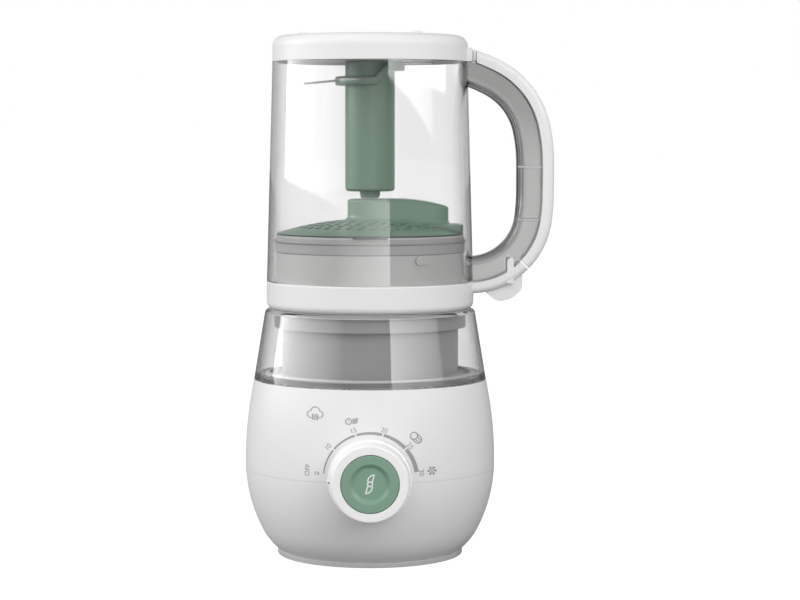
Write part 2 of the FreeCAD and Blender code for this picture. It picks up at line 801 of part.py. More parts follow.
def make_base_plate():
    rim_in = bowl_r(FOOT_TOP_Z, SHELL_WALL) - PLATE_LEDGE
    body = lathe([(0, PLATE_Z), (FOOT_R, PLATE_Z, FINE_EDGE), (FOOT_R, FOOT_TOP_Z, SOFT_EDGE),
                  (rim_in, FOOT_TOP_Z), (rim_in, PLATE_TOP_Z), (0, PLATE_TOP_Z)])
    posts = [rod(MOTOR_POST_R, PLATE_Z, MOTOR_POST_TOP, x, y) for x, y in corners_of(MOTOR_POST_XY)]
    posts += [rod(BOILER_POST_R, PLATE_Z, BOILER_BOTTOM, x, y) for x, y in boiler_post_places()]
    posts += [rod(BOARD_POST_R, PLATE_Z, BOARD_Z, x, y) for x, y in board_post_places()]
    posts += [rod(BOSS_R, PLATE_Z, PAD_TOP_Z, x, y) for x, y in screw_places()]
    body = fuse(body, *posts)
    holes = []
    for x, y in screw_places():
        holes.append(rod(SCREW_HEAD_R + FIT_GAP, PLATE_Z, PLATE_TOP_Z, x, y))
        holes.append(rod(SCREW_R + FIT_GAP, PLATE_Z, PAD_TOP_Z, x, y))
    for x, y in on_circle(FOOT_CIRCLE_R, FOOT_ANGLES):
        holes.append(rod(FOOT_PAD_R, PLATE_Z, PLATE_Z + FOOT_PAD_SINK, x, y))
    for x, y in corners_of(MOTOR_POST_XY):
        holes.append(rod(SCREW_R, MOTOR_POST_TOP - 3 * DAMPER_H, MOTOR_POST_TOP, x, y))
    slot = slot_outline(VENT_IN_R, VENT_OUT_R, VENT_WIDTH)
    holes += [turned(slot, i * 360 / VENT_COUNT) for i in range(VENT_COUNT)]
    return cut(body, *holes)


def slot_outline(r0, r1, width):
    """Rounded radial slot through the base plate."""
    half = width / 2
    corners = [(r0, -half, half * FULL_ROUND), (r1, -half, half * FULL_ROUND), (r1, half, half * FULL_ROUND),
               (r0, half, half * FULL_ROUND)]
    wire = rounded_wire(corners, lambda x, y: Vector(x, y, PLATE_Z))
    return Part.Face(wire).extrude(Vector(0, 0, PLATE_WALL))


def make_rubber_feet():
    top = PLATE_Z + FOOT_PAD_SINK
    pad = [(0, 0), (FOOT_PAD_R - FINE_EDGE, 0, FINE_EDGE), (FOOT_PAD_R, PLATE_Z), (FOOT_PAD_R, top), (0, top)]
    return [lathe_at(pad, x, y) for x, y in on_circle(FOOT_CIRCLE_R, FOOT_ANGLES)]


def lathe_at(corners, x, y):
    solid = lathe(corners)
    solid.translate(Vector(x, y, 0))
    return solid


def dial_pedestal():
    """Flat round step on the bowl that the knob turns against."""
    step = rod_y(PEDESTAL_R, PEDESTAL_Y, -BELLY_R / 2, 0, DIAL_Z)
    return step.cut(bowl_solid(HEEL_Z, SHOULDER_Z, SHELL_WALL))


def timer_bosses(side):
    """Bosses behind the dial that the timer is screwed to, above or below the axis."""
    z = DIAL_Z + side * TIMER_BOSS_X
    inside = bowl_solid(HEEL_Z, SHOULDER_Z, SHELL_WALL / 2)
    return [rod_y(BOSS_R, -BELLY_R, TIMER_FRONT_Y, sx * TIMER_BOSS_X, z).common(inside) for sx in (1, -1)]


def dial_holes():
    holes = [rod_y(HUB_R + SLIDE_GAP, KNOB_BACK_Y, TIMER_FRONT_Y, 0, DIAL_Z)]
    for sx in (1, -1):
        for side in (1, -1):
            holes.append(rod_y(SCREW_R, TIMER_FRONT_Y - BOSS_R, TIMER_FRONT_Y, sx * TIMER_BOSS_X,
                               DIAL_Z + side * TIMER_BOSS_X))
    return holes


def half_space(above):
    size = 4 * BELLY_R
    z0 = PARTING_Z if above else PARTING_Z - size
    return block(-size / 2, size / 2, -size / 2, size / 2, z0, z0 + size)


def make_lower_housing():
    shell = bowl_ring(FOOT_TOP_Z, PARTING_Z, 0, SHELL_WALL)
    inside = bowl_solid(FOOT_TOP_Z, PARTING_Z, SHELL_WALL / 2)
    gland_pad = rod_y(GLAND_PAD_R, BELLY_R / 2, GLAND_FACE_Y, 0, GLAND_Z)
    gland_pad = gland_pad.cut(bowl_solid(FOOT_TOP_Z, PARTING_Z, SHELL_WALL))
    additions = [dial_pedestal().common(half_space(False)), gland_pad]
    additions += timer_bosses(-1)
    for x, y in screw_places():
        boss = rod(BOSS_R, PAD_TOP_Z, PAD_TOP_Z + HOUSING_BOSS_H, x, y)
        reach = math.hypot(x, y)
        rib = block(reach, BELLY_R, -SCREW_R, SCREW_R, PAD_TOP_Z + SCREW_HEAD_R, PAD_TOP_Z + HOUSING_BOSS_H)
        additions += [boss, turned(rib, math.degrees(math.atan2(y, x))).common(inside)]
    holes = dial_holes() + [rod_y(GLAND_R, BELLY_R / 2, GLAND_FACE_Y, 0, GLAND_Z)]
    holes += [rod(SCREW_R, PAD_TOP_Z, PAD_TOP_Z + HOUSING_BOSS_H - BOSS_R, x, y) for x, y in screw_places()]
    return cut(fuse(shell, *additions), *holes)


def make_upper_housing():
    shell = bowl_ring(PARTING_Z, SHOULDER_Z, 0, SHELL_WALL)
    flange_z = SHOULDER_Z - HOUSING_FLANGE_T
    flange = bowl_ring(flange_z, SHOULDER_Z, SHELL_WALL / 2, BELLY_R / 6)
    flange = fuse(flange, tube(bowl_r(flange_z, SHELL_WALL), HOUSING_FLANGE_R, flange_z, SHOULDER_Z))
    lap_inner = SHELL_WALL + FIT_GAP + LAP_T
    lap_root = bowl_ring(PARTING_Z, PARTING_Z + LAP_ROOT, SHELL_WALL / 2, lap_inner)
    lap = bowl_ring(PARTING_Z - LAP_DEPTH, PARTING_Z, SHELL_WALL + FIT_GAP, lap_inner)
    body = fuse(shell, flange, lap_root, lap, dial_pedestal().common(half_space(True)), *timer_bosses(1))
    lower_bosses = [rod_y(BOSS_R + FIT_GAP, -BELLY_R, TIMER_FRONT_Y, sx * TIMER_BOSS_X, DIAL_Z - TIMER_BOSS_X)
                    for sx in (1, -1)]
    outlet = rod(STUB_R + SLIDE_GAP, flange_z, SHOULDER_Z, WATER_X, 0)
    return cut(body, outlet, *lower_bosses, *dial_holes())


def make_housing_screws():
    screws = []
    for x, y in screw_places():
        head = rod(SCREW_HEAD_R, PLATE_TOP_Z - SCREW_HEAD_H, PLATE_TOP_Z, x, y)
        shank = rod(SCREW_R, PLATE_TOP_Z, PAD_TOP_Z + HOUSING_BOSS_H / 2, x, y)
        slot = block(x - SCREW_HEAD_R, x + SCREW_HEAD_R, y - SCREW_SLOT_HALF, y + SCREW_SLOT_HALF,
                     PLATE_TOP_Z - SCREW_HEAD_H, PLATE_TOP_Z - SCREW_HEAD_H / 2)
        screws.append(cut(fuse(head, shank), slot))
    return screws


def make_cord_gland():
    back = GLAND_FACE_Y - GLAND_REACH
    return lathe_y([(GLAND_BORE_R, back), (GLAND_R, back), (GLAND_R, GLAND_FACE_Y),
                    (GLAND_FLANGE_R, GLAND_FACE_Y),
                    (GLAND_FLANGE_R, GLAND_FACE_Y + GLAND_FLANGE_T, GLAND_EDGE),
                    (GLAND_BORE_R, GLAND_FACE_Y + GLAND_FLANGE_T)], GLAND_Z)


# Dial: knob, button, plunger, springs, timer and switch

def knob_depth(d):
    return KNOB_FRONT_Y + d


def make_control_knob():
    well = BUTTON_H + BUTTON_TRAVEL + SLIDE_GAP
    web = well + KNOB_WALL
    skirt = KNOB_DEPTH - KNOB_SKIRT_DEPTH
    neck_r = KNOB_FRONT_R + (KNOB_BACK_R - KNOB_FRONT_R) * skirt / KNOB_DEPTH - KNOB_STEP
    hub_end = SOCKET_FLOOR_Y - SLIDE_GAP
    corners = [(BUTTON_R + SLIDE_GAP, knob_depth(0), HAIR_EDGE), (KNOB_FRONT_R, knob_depth(0), KNOB_EDGE),
               (neck_r, knob_depth(skirt)), (neck_r + 2 * KNOB_STEP, knob_depth(skirt + KNOB_STEP)),
               (KNOB_BACK_R, knob_depth(KNOB_DEPTH)), (KNOB_BACK_R - KNOB_WALL, knob_depth(KNOB_DEPTH)),
               (KNOB_BACK_R - KNOB_WALL, knob_depth(web)), (HUB_R, knob_depth(web)), (HUB_R, hub_end),
               (HUB_BORE_R, hub_end), (HUB_BORE_R, knob_depth(well)),
               (BUTTON_R + SLIDE_GAP, knob_depth(well))]
    pointer = Part.makeSphere(KNOB_EDGE, Vector(-neck_r - KNOB_STEP, knob_depth(skirt + KNOB_STEP * 2),
                                                DIAL_Z))
    return fuse(lathe_y(corners, DIAL_Z), pointer)


def make_blend_button():
    face = knob_depth(0)
    return lathe_y([(0, face + DISH_DEPTH), (DISH_FLOOR_R, face + DISH_DEPTH, BROAD_EDGE),
                    (DISH_RIM_R, face, FINE_EDGE), (BUTTON_R, face, FINE_EDGE), (BUTTON_R, face + BUTTON_H),
                    (BUTTON_R - BUTTON_WALL, face + BUTTON_H),
                    (BUTTON_R - BUTTON_WALL, face + BUTTON_FACE_T), (0, face + BUTTON_FACE_T)], DIAL_Z)


def make_button_plunger():
    front = knob_depth(BUTTON_FACE_T)
    back = TIMER_BACK_Y + 1.0
    return lathe_y([(0, front), (PLUNGER_R, front), (PLUNGER_R, back, BROAD_EDGE), (0, back)], DIAL_Z)


def make_button_spring():
    front = knob_depth(BUTTON_FACE_T)
    spring = coil_spring(BUTTON_SPRING_R, SPRING_WIRE_R, SOCKET_FLOOR_Y - front - 2 * FIT_GAP,
                         BUTTON_SPRING_TURNS)
    spring.rotate(Vector(), X_AXIS, -90)
    spring.translate(Vector(0, front + FIT_GAP, DIAL_Z))
    return spring


def make_timer_unit():
    half = TIMER_SIZE / 2
    body = block(-half, half, TIMER_FRONT_Y, TIMER_BACK_Y, DIAL_Z - half, DIAL_Z + half)
    body = body.makeFillet(DEEP_EDGE, [e for e in body.Edges if abs(e.Vertexes[0].Y - e.Vertexes[-1].Y) > 1])
    holes = [rod_y(HUB_R + RUN_GAP, TIMER_FRONT_Y, SOCKET_FLOOR_Y, 0, DIAL_Z),
             rod_y(PLUNGER_R + RUN_GAP, TIMER_FRONT_Y, TIMER_BACK_Y, 0, DIAL_Z)]
    for sx in (1, -1):
        for sz in (1, -1):
            holes.append(rod_y(SCREW_R + FIT_GAP, TIMER_FRONT_Y, TIMER_BACK_Y, sx * TIMER_BOSS_X,
                               DIAL_Z + sz * TIMER_BOSS_X))
    return cut(body, *holes)


def make_timer_screws():
    screws = []
    for sx in (1, -1):
        for sz in (1, -1):
            x, z = sx * TIMER_BOSS_X, DIAL_Z + sz * TIMER_BOSS_X
            shank = rod_y(SCREW_R, TIMER_FRONT_Y - BOSS_R / 2, TIMER_BACK_Y, x, z)
            head = rod_y(SCREW_HEAD_R, TIMER_BACK_Y, TIMER_BACK_Y + SCREW_HEAD_H, x, z)
            screws.append(fuse(shank, head))
    return screws


def make_blend_switch():
    front = TIMER_BACK_Y + BUTTON_TRAVEL + SWITCH_GAP
    back = front + SWITCH_DEPTH
    half_w, half_h = SWITCH_W / 2 - SWITCH_WALL, SWITCH_H / 2
    body = block(-half_w, half_w, front, back, DIAL_Z - half_h, DIAL_Z + half_h)
    cheek = SWITCH_WALL / 2
    cheeks = [block(x - cheek, x + cheek, TIMER_BACK_Y, back, DIAL_Z - half_h, DIAL_Z + half_h)
              for x in (-half_w, half_w)]
    tags = [block(x - TAG_T / 2, x + TAG_T / 2, back, back + TAG_L, DIAL_Z - TAG_L / 2, DIAL_Z + TAG_L / 2)
            for x in (-half_w / 2, 0, half_w / 2)]
    return fuse(body, *cheeks, *tags)


# Water tank: clear wall, grey core, gasket and filler plug

def tank_r(z):
    """Outer radius of the tank's straight wall at height z."""
    top_z = SEAT_Z - TANK_TOP_DROP
    return SHOULDER_R + (TANK_TOP_R - SHOULDER_R) * (z - SHOULDER_Z) / (top_z - SHOULDER_Z)


def filler_face():
    return tank_r(FILLER_Z) + FILLER_BOSS_REACH


def make_tank_window():
    top = SEAT_Z - TANK_TOP_DROP
    lip_z = CORE_TOP_Z - FIT_GAP
    lip_r = SEAT_R + FIT_GAP
    floor_z = SHOULDER_Z + TANK_FLANGE_T
    wall = TANK_WALL
    shell = lathe([(TANK_FLANGE_R, SHOULDER_Z), (SHOULDER_R, SHOULDER_Z), (TANK_TOP_R, top, TANK_EDGE),
                   (lip_r, top),
                   (lip_r, lip_z), (tank_r(lip_z) - wall, lip_z),
                   (tank_r(floor_z) - wall, floor_z, BROAD_EDGE),
                   (TANK_FLANGE_R, floor_z)])
    cavity = lathe([(0, floor_z), (tank_r(floor_z) - wall, floor_z), (tank_r(lip_z) - wall, lip_z),
                    (0, lip_z)])
    boss = rod_y(FILLER_BOSS_R, CORE_R, filler_face(), 0, FILLER_Z).cut(cavity)
    return cut(fuse(shell, boss), rod_y(FILLER_BORE_R, CORE_R, filler_face(), 0, FILLER_Z))


def make_tank_core():
    floor_z = SHOULDER_Z + TANK_FLANGE_T
    inner = CORE_BORE_R
    band_z = CORE_TOP_Z - CORE_BAND_H
    body = lathe([(inner, SHOULDER_Z), (TANK_FLANGE_R - FIT_GAP, SHOULDER_Z),
                  (TANK_FLANGE_R - FIT_GAP, floor_z),
                  (CORE_R, floor_z, CORE_EDGE), (CORE_R, band_z, BROAD_EDGE), (CORE_BAND_R, band_z),
                  (CORE_BAND_R, CORE_TOP_Z),
                  (inner, CORE_TOP_Z)])
    pad = block(-INTERLOCK_W / 2, INTERLOCK_W / 2, inner - PAD_T, inner + CORE_WALL / 2,
                interlock_top() - INTERLOCK_H, interlock_top())
    stub = rod(STUB_R, SHOULDER_Z - TANK_STUB_H, SHOULDER_Z, WATER_X, 0)
    drain = rod(STUB_BORE_R, SHOULDER_Z - TANK_STUB_H, floor_z, WATER_X, 0)
    return cut(fuse(body, pad, stub), drain)


def make_tank_gasket():
    floor_z = SHOULDER_Z + TANK_FLANGE_T
    return lathe([(TANK_FLANGE_R - GASKET_W / 2, floor_z), (TANK_FLANGE_R + GASKET_W / 2, floor_z),
                  (TANK_FLANGE_R + GASKET_W / 2, floor_z + GASKET_H, FINE_EDGE),
                  (TANK_FLANGE_R - GASKET_W / 2, floor_z + GASKET_H, FINE_EDGE)])


def make_filler_plug():
    face = filler_face()
    stem_r = FILLER_BORE_R - SLIDE_GAP
    groove = face - PLUG_STEM_H / 2
    body = lathe_y([(0, face - PLUG_STEM_H), (stem_r, face - PLUG_STEM_H, SOFT_EDGE),
                    (stem_r, groove - PLUG_RING_R),
                    (stem_r - PLUG_RING_R, groove - PLUG_RING_R),
                    (stem_r - PLUG_RING_R, groove + PLUG_RING_R),
                    (stem_r, groove + PLUG_RING_R), (stem_r, face), (PLUG_HEAD_R, face),
                    (PLUG_HEAD_R, face + PLUG_HEAD_H - PLUG_GRIP_H, SOFT_EDGE),
                    (0, face + PLUG_HEAD_H - PLUG_GRIP_H)],
                   FILLER_Z)
    grip = block(-PLUG_HEAD_R + 2, PLUG_HEAD_R - 2, face, face + PLUG_HEAD_H, FILLER_Z - PLUG_GRIP_W / 2,
                 FILLER_Z + PLUG_GRIP_W / 2)
    return fuse(body, grip)


def make_plug_seal():
    stem_r = FILLER_BORE_R - SLIDE_GAP
    groove = filler_face() - PLUG_STEM_H / 2
    return lathe_y([(stem_r - PLUG_RING_R, groove - PLUG_RING_R),
                    (FILLER_BORE_R - FIT_GAP, groove - PLUG_RING_R, HAIR_EDGE),
                    (FILLER_BORE_R - FIT_GAP, groove + PLUG_RING_R, HAIR_EDGE),
                    (stem_r - PLUG_RING_R, groove + PLUG_RING_R)], FILLER_Z)


# Seat on top of the tank, with the interlock pin and the shaft's seal

def well_floor_z():
    return WELL_Z - WELL_FLOOR_T


def guide_bottom():
    return WELL_Z - PIN_GUIDE_H - WELL_FLOOR_T


def pin_collar_top():
    return guide_bottom() - SLIDE_GAP


def interlock_top():
    return pin_collar_top() - PIN_COLLAR_H - PIN_SPRING_H


def make_jar_seat():
    floor_z = well_floor_z()
    wall_r = CORE_BORE_R - SLIDE_GAP
    body = lathe([(0, floor_z), (wall_r, floor_z), (wall_r, CORE_TOP_Z), (SEAT_R, CORE_TOP_Z),
                  (SEAT_R, SEAT_Z, FINE_EDGE),
                  (WELL_R, SEAT_Z, SOFT_EDGE), (WELL_R, WELL_Z, SOFT_EDGE), (0, WELL_Z)])
    collar = rod(SEAL_R + COLLAR_WALL, WELL_Z - SEAL_H - WELL_FLOOR_T, WELL_Z)
    guide = rod(PIN_R + WELL_FLOOR_T, guide_bottom(), WELL_Z, 0, PIN_Y)
    holes = [rod(SEAL_R, WELL_Z - SEAL_H - WELL_FLOOR_T, WELL_Z),
             rod(PIN_R + RUN_GAP, guide_bottom(), WELL_Z, 0, PIN_Y),
             rod(NOZZLE_R, floor_z, WELL_Z, STEAM_X, 0)]
    return cut(fuse(body, collar, guide), *holes)


def make_shaft_seal():
    bottom = WELL_Z - SEAL_H
    return lathe([(SHAFT_R + FIT_GAP, bottom), (SEAL_R, bottom), (SEAL_R, WELL_Z - FINE_EDGE),
                  (SEAL_R / 2 + SHAFT_R / 2, WELL_Z - FINE_EDGE), (SHAFT_R + FIT_GAP, WELL_Z - SEAL_H / 2)])


def make_interlock_pin():
    collar = pin_collar_top()
    stem = interlock_top() + PIN_STEM_GAP
    return lathe_at([(0, stem), (PIN_STEM_R, stem, FINE_EDGE), (PIN_STEM_R, collar - PIN_COLLAR_H),
                     (PIN_COLLAR_R, collar - PIN_COLLAR_H), (PIN_COLLAR_R, collar), (PIN_R, collar),
                     (PIN_R, WELL_Z + PIN_PROUD, PIN_EDGE), (0, WELL_Z + PIN_PROUD)], 0, PIN_Y)


def make_interlock_spring():
    spring = coil_spring(PIN_SPRING_R, SPRING_WIRE_R, PIN_SPRING_H - 2 * FIT_GAP, PIN_SPRING_TURNS)
    spring.translate(Vector(0, PIN_Y, interlock_top() + FIT_GAP))
    return spring


def make_interlock_switch():
    back = CORE_BORE_R - PAD_T
    top = interlock_top()
    body = block(-INTERLOCK_W / 2, INTERLOCK_W / 2, back - INTERLOCK_DEPTH, back, top - INTERLOCK_H, top)
    middle = back - INTERLOCK_DEPTH / 2
    bottom = top - INTERLOCK_H
    tags = [block(x - TAG_L / 2, x + TAG_L / 2, middle - TAG_T / 2, middle + TAG_T / 2, bottom - TAG_L,
                  bottom)
            for x in (-INTERLOCK_W / 3, 0, INTERLOCK_W / 3)]
    return fuse(body, *tags)


# Motor and drive

def make_motor_dampers():
    return [tube(DAMPER_R, SCREW_R + FIT_GAP, MOTOR_POST_TOP, LOWER_BRACKET_Z, x, y)
            for x, y in corners_of(MOTOR_POST_XY)]


def headed_pin(r, z0, z1, x, y):
    """Screw or bolt from z0 up to its head, which sits on z1."""
    return fuse(rod(r, z0, z1, x, y), rod(SCREW_HEAD_R, z1, z1 + SCREW_HEAD_H, x, y))


def make_motor_fasteners():
    low = LOWER_BRACKET_Z + BRACKET_T
    high = UPPER_BRACKET_Z + BRACKET_T
    screws = [headed_pin(SCREW_R, MOTOR_POST_TOP - 2 * DAMPER_H, low, x, y)
              for x, y in corners_of(MOTOR_POST_XY)]
    bolts = [headed_pin(MOTOR_BOLT_R, LOWER_BRACKET_Z, high, x, y) for x, y in corners_of(MOTOR_BOLT_XY)]
    return screws + bolts


def make_lower_bracket():
    z = LOWER_BRACKET_Z
    body = plate(LOWER_BRACKET_HALF, BRACKET_CORNER, z, z + BRACKET_T)
    hub = rod(BEARING_R + BEARING_WALL, z + BRACKET_T - BEARING_H, z + BRACKET_T)
    pillars = [rod(PILLAR_R, z, STATOR_BOTTOM, x, y) for x, y in corners_of(MOTOR_BOLT_XY)]
    holes = [rod(BEARING_R, z + BRACKET_T - BEARING_H, z + BRACKET_T)]
    holes += [rod(SCREW_R + FIT_GAP, z, z + BRACKET_T, x, y) for x, y in corners_of(MOTOR_POST_XY)]
    holes += [rod(MOTOR_BOLT_R + RUN_GAP, z, STATOR_BOTTOM, x, y) for x, y in corners_of(MOTOR_BOLT_XY)]
    inner, outer = BEARING_R + 2 * BEARING_WALL, LOWER_BRACKET_HALF - BRACKET_CORNER
    starts = (-BRACKET_WINDOW_SPAN / 2, 180 - BRACKET_WINDOW_SPAN / 2)
    holes += [sector(inner, outer, z, z + BRACKET_T, start, BRACKET_WINDOW_SPAN) for start in starts]
    return cut(fuse(body, hub, *pillars), *holes)


def make_upper_bracket():
    z = UPPER_BRACKET_Z
    body = plate(STATOR_HALF, BRACKET_CORNER, z, z + BRACKET_T)
    hub = rod(BEARING_R + BEARING_WALL, z, z + BEARING_H)
    pillars = [rod(PILLAR_R, STATOR_TOP, z, x, y) for x, y in corners_of(MOTOR_BOLT_XY)]
    holes = [rod(BEARING_R, z, z + BEARING_H)]
    holes += [rod(MOTOR_BOLT_R + RUN_GAP, STATOR_TOP, z + BRACKET_T, x, y)
              for x, y in corners_of(MOTOR_BOLT_XY)]
    return cut(fuse(body, hub, *pillars), *holes)


def make_motor_bearings():
    low = LOWER_BRACKET_Z + BRACKET_T
    high = UPPER_BRACKET_Z
    return [tube(BEARING_R, SHAFT_R + RUN_GAP, low - BEARING_H, low),
            tube(BEARING_R, SHAFT_R + RUN_GAP, high, high + BEARING_H)]


def make_motor_stator():
    body = plate(STATOR_HALF, BRACKET_CORNER, STATOR_BOTTOM, STATOR_TOP)
    holes = [rod(STATOR_BORE_R, STATOR_BOTTOM, STATOR_TOP)]
    holes += [rod(MOTOR_BOLT_R + RUN_GAP, STATOR_BOTTOM, STATOR_TOP, x, y)
              for x, y in corners_of(MOTOR_BOLT_XY)]
    return cut(body, *holes)


def make_field_coils():
    coils = []
    for start in (-COIL_SPAN / 2, 180 - COIL_SPAN / 2):
        for z0, z1 in ((STATOR_BOTTOM - COIL_H, STATOR_BOTTOM), (STATOR_TOP, STATOR_TOP + COIL_H)):
            coils.append(sector(COIL_IN_R, COIL_OUT_R, z0, z1, start, COIL_SPAN))
    return coils


def make_brush_boxes():
    z = LOWER_BRACKET_Z + BRACKET_T
    inner = COMMUTATOR_R + SLIDE_GAP
    box = block(-BRUSH_W / 2, BRUSH_W / 2, inner + FIT_GAP, inner + BRUSH_L, z, z + BRUSH_H)
    box = box.cut(rod(inner, z, z + BRUSH_H))
    return [box, turned(box, 180)]


def fan_bottom():
    return LOWER_BRACKET_Z + BRACKET_T - BEARING_H - FAN_GAP - FAN_H


def make_motor_shaft():
    return lathe([(0, fan_bottom()), (SHAFT_R, fan_bottom(), FINE_EDGE),
                  (SHAFT_R, coupling_z() + COUPLING_H - SHAFT_RECESS, FINE_EDGE),
                  (0, coupling_z() + COUPLING_H - SHAFT_RECESS)])


def make_armature():
    core = tube(STATOR_BORE_R - AIR_GAP, SHAFT_R, STATOR_BOTTOM + 1, STATOR_TOP - 1)
    ends = [tube(STATOR_BORE_R - 5 * AIR_GAP, SHAFT_R, STATOR_BOTTOM - 2, STATOR_BOTTOM + 1),
            tube(STATOR_BORE_R - 5 * AIR_GAP, SHAFT_R, STATOR_TOP - 1, STATOR_TOP + 4)]
    return fuse(core, *ends)


def make_commutator():
    z = LOWER_BRACKET_Z + BRACKET_T + 0.5
    return tube(COMMUTATOR_R, SHAFT_R, z, z + COMMUTATOR_H)


def make_cooling_fan():
    z = fan_bottom()
    body = fuse(tube(FAN_R, SHAFT_R, z, z + FAN_DISC_T), tube(FAN_HUB_R, SHAFT_R, z, z + FAN_H))
    blade = block(FAN_HUB_R - 1, FAN_R, -FAN_BLADE_T / 2, FAN_BLADE_T / 2, z, z + FAN_H)
    blade = blade.common(tube(FAN_R, FAN_HUB_R - 0.5, z, z + FAN_H))
    return fuse(body, *[turned(blade, i * 360 / FAN_BLADES) for i in range(FAN_BLADES)])


def coupling_z():
    return WELL_Z + COUPLING_LIFT


def toothed_disc(radius, bore, z, height, tooth, teeth):
    """Drive dog: a disc with square teeth standing on one face."""
    body = tube(radius, bore, z, z + height - tooth)
    span = 180 / teeth
    dogs = [sector(radius * 0.55, radius, z, z + height, i * 360 / teeth, span) for i in range(teeth)]
    return fuse(body, *dogs)


def make_drive_coupling():
    return toothed_disc(COUPLING_R, SHAFT_R, coupling_z(), COUPLING_H, COUPLING_TOOTH_H, COUPLING_TEETH)


# Steam side

def boiler_top():
    return BOILER_BOTTOM + BOILER_H


def boiler_lid_top():
    return boiler_top() + BOILER_LID_T


def make_boiler_body():
    inner = BOILER_R - BOILER_WALL
    top = boiler_top()
    return lathe_at([(0, BOILER_BOTTOM), (BOILER_R, BOILER_BOTTOM, BROAD_EDGE),
                     (BOILER_R, top - BOILER_FLANGE_T),
                     (BOILER_FLANGE_R, top - BOILER_FLANGE_T), (BOILER_FLANGE_R, top), (inner, top),
                     (inner, BOILER_BOTTOM + BOILER_WALL, DEEP_EDGE), (0, BOILER_BOTTOM + BOILER_WALL)],
                    BOILER_X, 0)


def make_boiler_lid():
    top = boiler_lid_top()
    body = rod(BOILER_FLANGE_R, boiler_top(), top, BOILER_X, 0)
    stubs = [rod(STUB_R, top, top + STUB_H, x, 0) for x in (STEAM_X, WATER_X)]
    bores = [rod(STUB_BORE_R, boiler_top(), top + STUB_H, x, 0) for x in (STEAM_X, WATER_X)]
    return cut(fuse(body, *stubs), *bores)


def make_heating_element():
    ring_r = BOILER_R + HEATER_R + FIT_GAP
    z = BOILER_BOTTOM + HEATER_LIFT
    section = Part.Face(Part.Wire(Part.Circle(Vector(ring_r, 0, z), Y_AXIS, HEATER_R).toShape()))
    ring = section.revolve(Vector(0, 0, z), Z_AXIS, HEATER_SWEEP)
    tails = []
    for angle in (0, HEATER_SWEEP):
        for x, y in on_circle(ring_r, (angle,)):
            tails.append(rod(HEATER_R, z, z + HEATER_TAIL, x, y))
            tails.append(Part.makeSphere(HEATER_R, Vector(x, y, z)))
    element = fuse(ring, *tails)
    element.rotate(Vector(), Z_AXIS, 180 - HEATER_SWEEP / 2 + 180)
    element.translate(Vector(BOILER_X, 0, 0))
    return element


def make_thermostat():
    top = boiler_lid_top()
    cup = rod(THERMOSTAT_R, top, top + THERMOSTAT_H, BOILER_X, THERMOSTAT_Y)
    tag_z = top + THERMOSTAT_H
    tags = [block(x - TAG_T / 2, x + TAG_T / 2, THERMOSTAT_Y - TAG_L / 2, THERMOSTAT_Y + TAG_L / 2, tag_z,
                  tag_z + TAG_L)
            for x in (BOILER_X - THERMOSTAT_R / 2, BOILER_X + THERMOSTAT_R / 2)]
    return fuse(cup, *tags)


def make_hoses():
    bottom = boiler_lid_top() + SLIDE_GAP
    ends = ((STEAM_X, well_floor_z()), (WATER_X, SHOULDER_Z - HOUSING_FLANGE_T))
    return [tube(STUB_R + HOSE_WALL, STUB_R, bottom, top - SLIDE_GAP, x, 0) for x, top in ends]


def make_steam_nozzle():
    bottom = well_floor_z() - NOZZLE_TAIL
    top = SEAT_Z - SLIDE_GAP - FIT_GAP
    flange = WELL_Z + NOZZLE_FLANGE_T
    return lathe_at([(NOZZLE_BORE_R, bottom), (STUB_R, bottom), (STUB_R, well_floor_z()),
                     (NOZZLE_R, well_floor_z()),
                     (NOZZLE_R, WELL_Z), (NOZZLE_FLANGE_R, WELL_Z), (NOZZLE_FLANGE_R, flange, FINE_EDGE),
                     (NOZZLE_R, flange), (NOZZLE_R, top, SOFT_EDGE), (NOZZLE_BORE_R, top)], STEAM_X, 0)


# Control board on its posts

def make_control_board():
    top = BOARD_Z + BOARD_T
    board = block(BOARD_X0, BOARD_X1, -BOARD_HALF_Y, BOARD_HALF_Y, BOARD_Z, top)
    middle = (BOARD_X0 + BOARD_X1) / 2
    edge = BOARD_HALF_Y - BOARD_EDGE
    chips = []
    for width, length, height in (RELAY_SIZE, SUPPLY_SIZE):
        chips.append(block(middle - width / 2, middle + width / 2, edge - length, edge, top, top + height))
        edge -= length + BOARD_EDGE
    row = BOARD_EDGE + CAPACITOR_R - BOARD_HALF_Y
    apart = CAPACITOR_R + BOARD_EDGE / 2
    chips += [rod(CAPACITOR_R, top, top + CAPACITOR_H, x, row) for x in (middle - apart, middle + apart)]
    return fuse(board, *chips)


# Lid: rim with arm, grommet, cup, seal and strainer

def cup_r(z):
    """Outer radius of the lid's tapered cup."""
    bottom = SEAT_Z + LID_FLOOR_T
    return CUP_R - CUP_DRAFT * (z - bottom) / (CUP_TOP_Z - bottom)


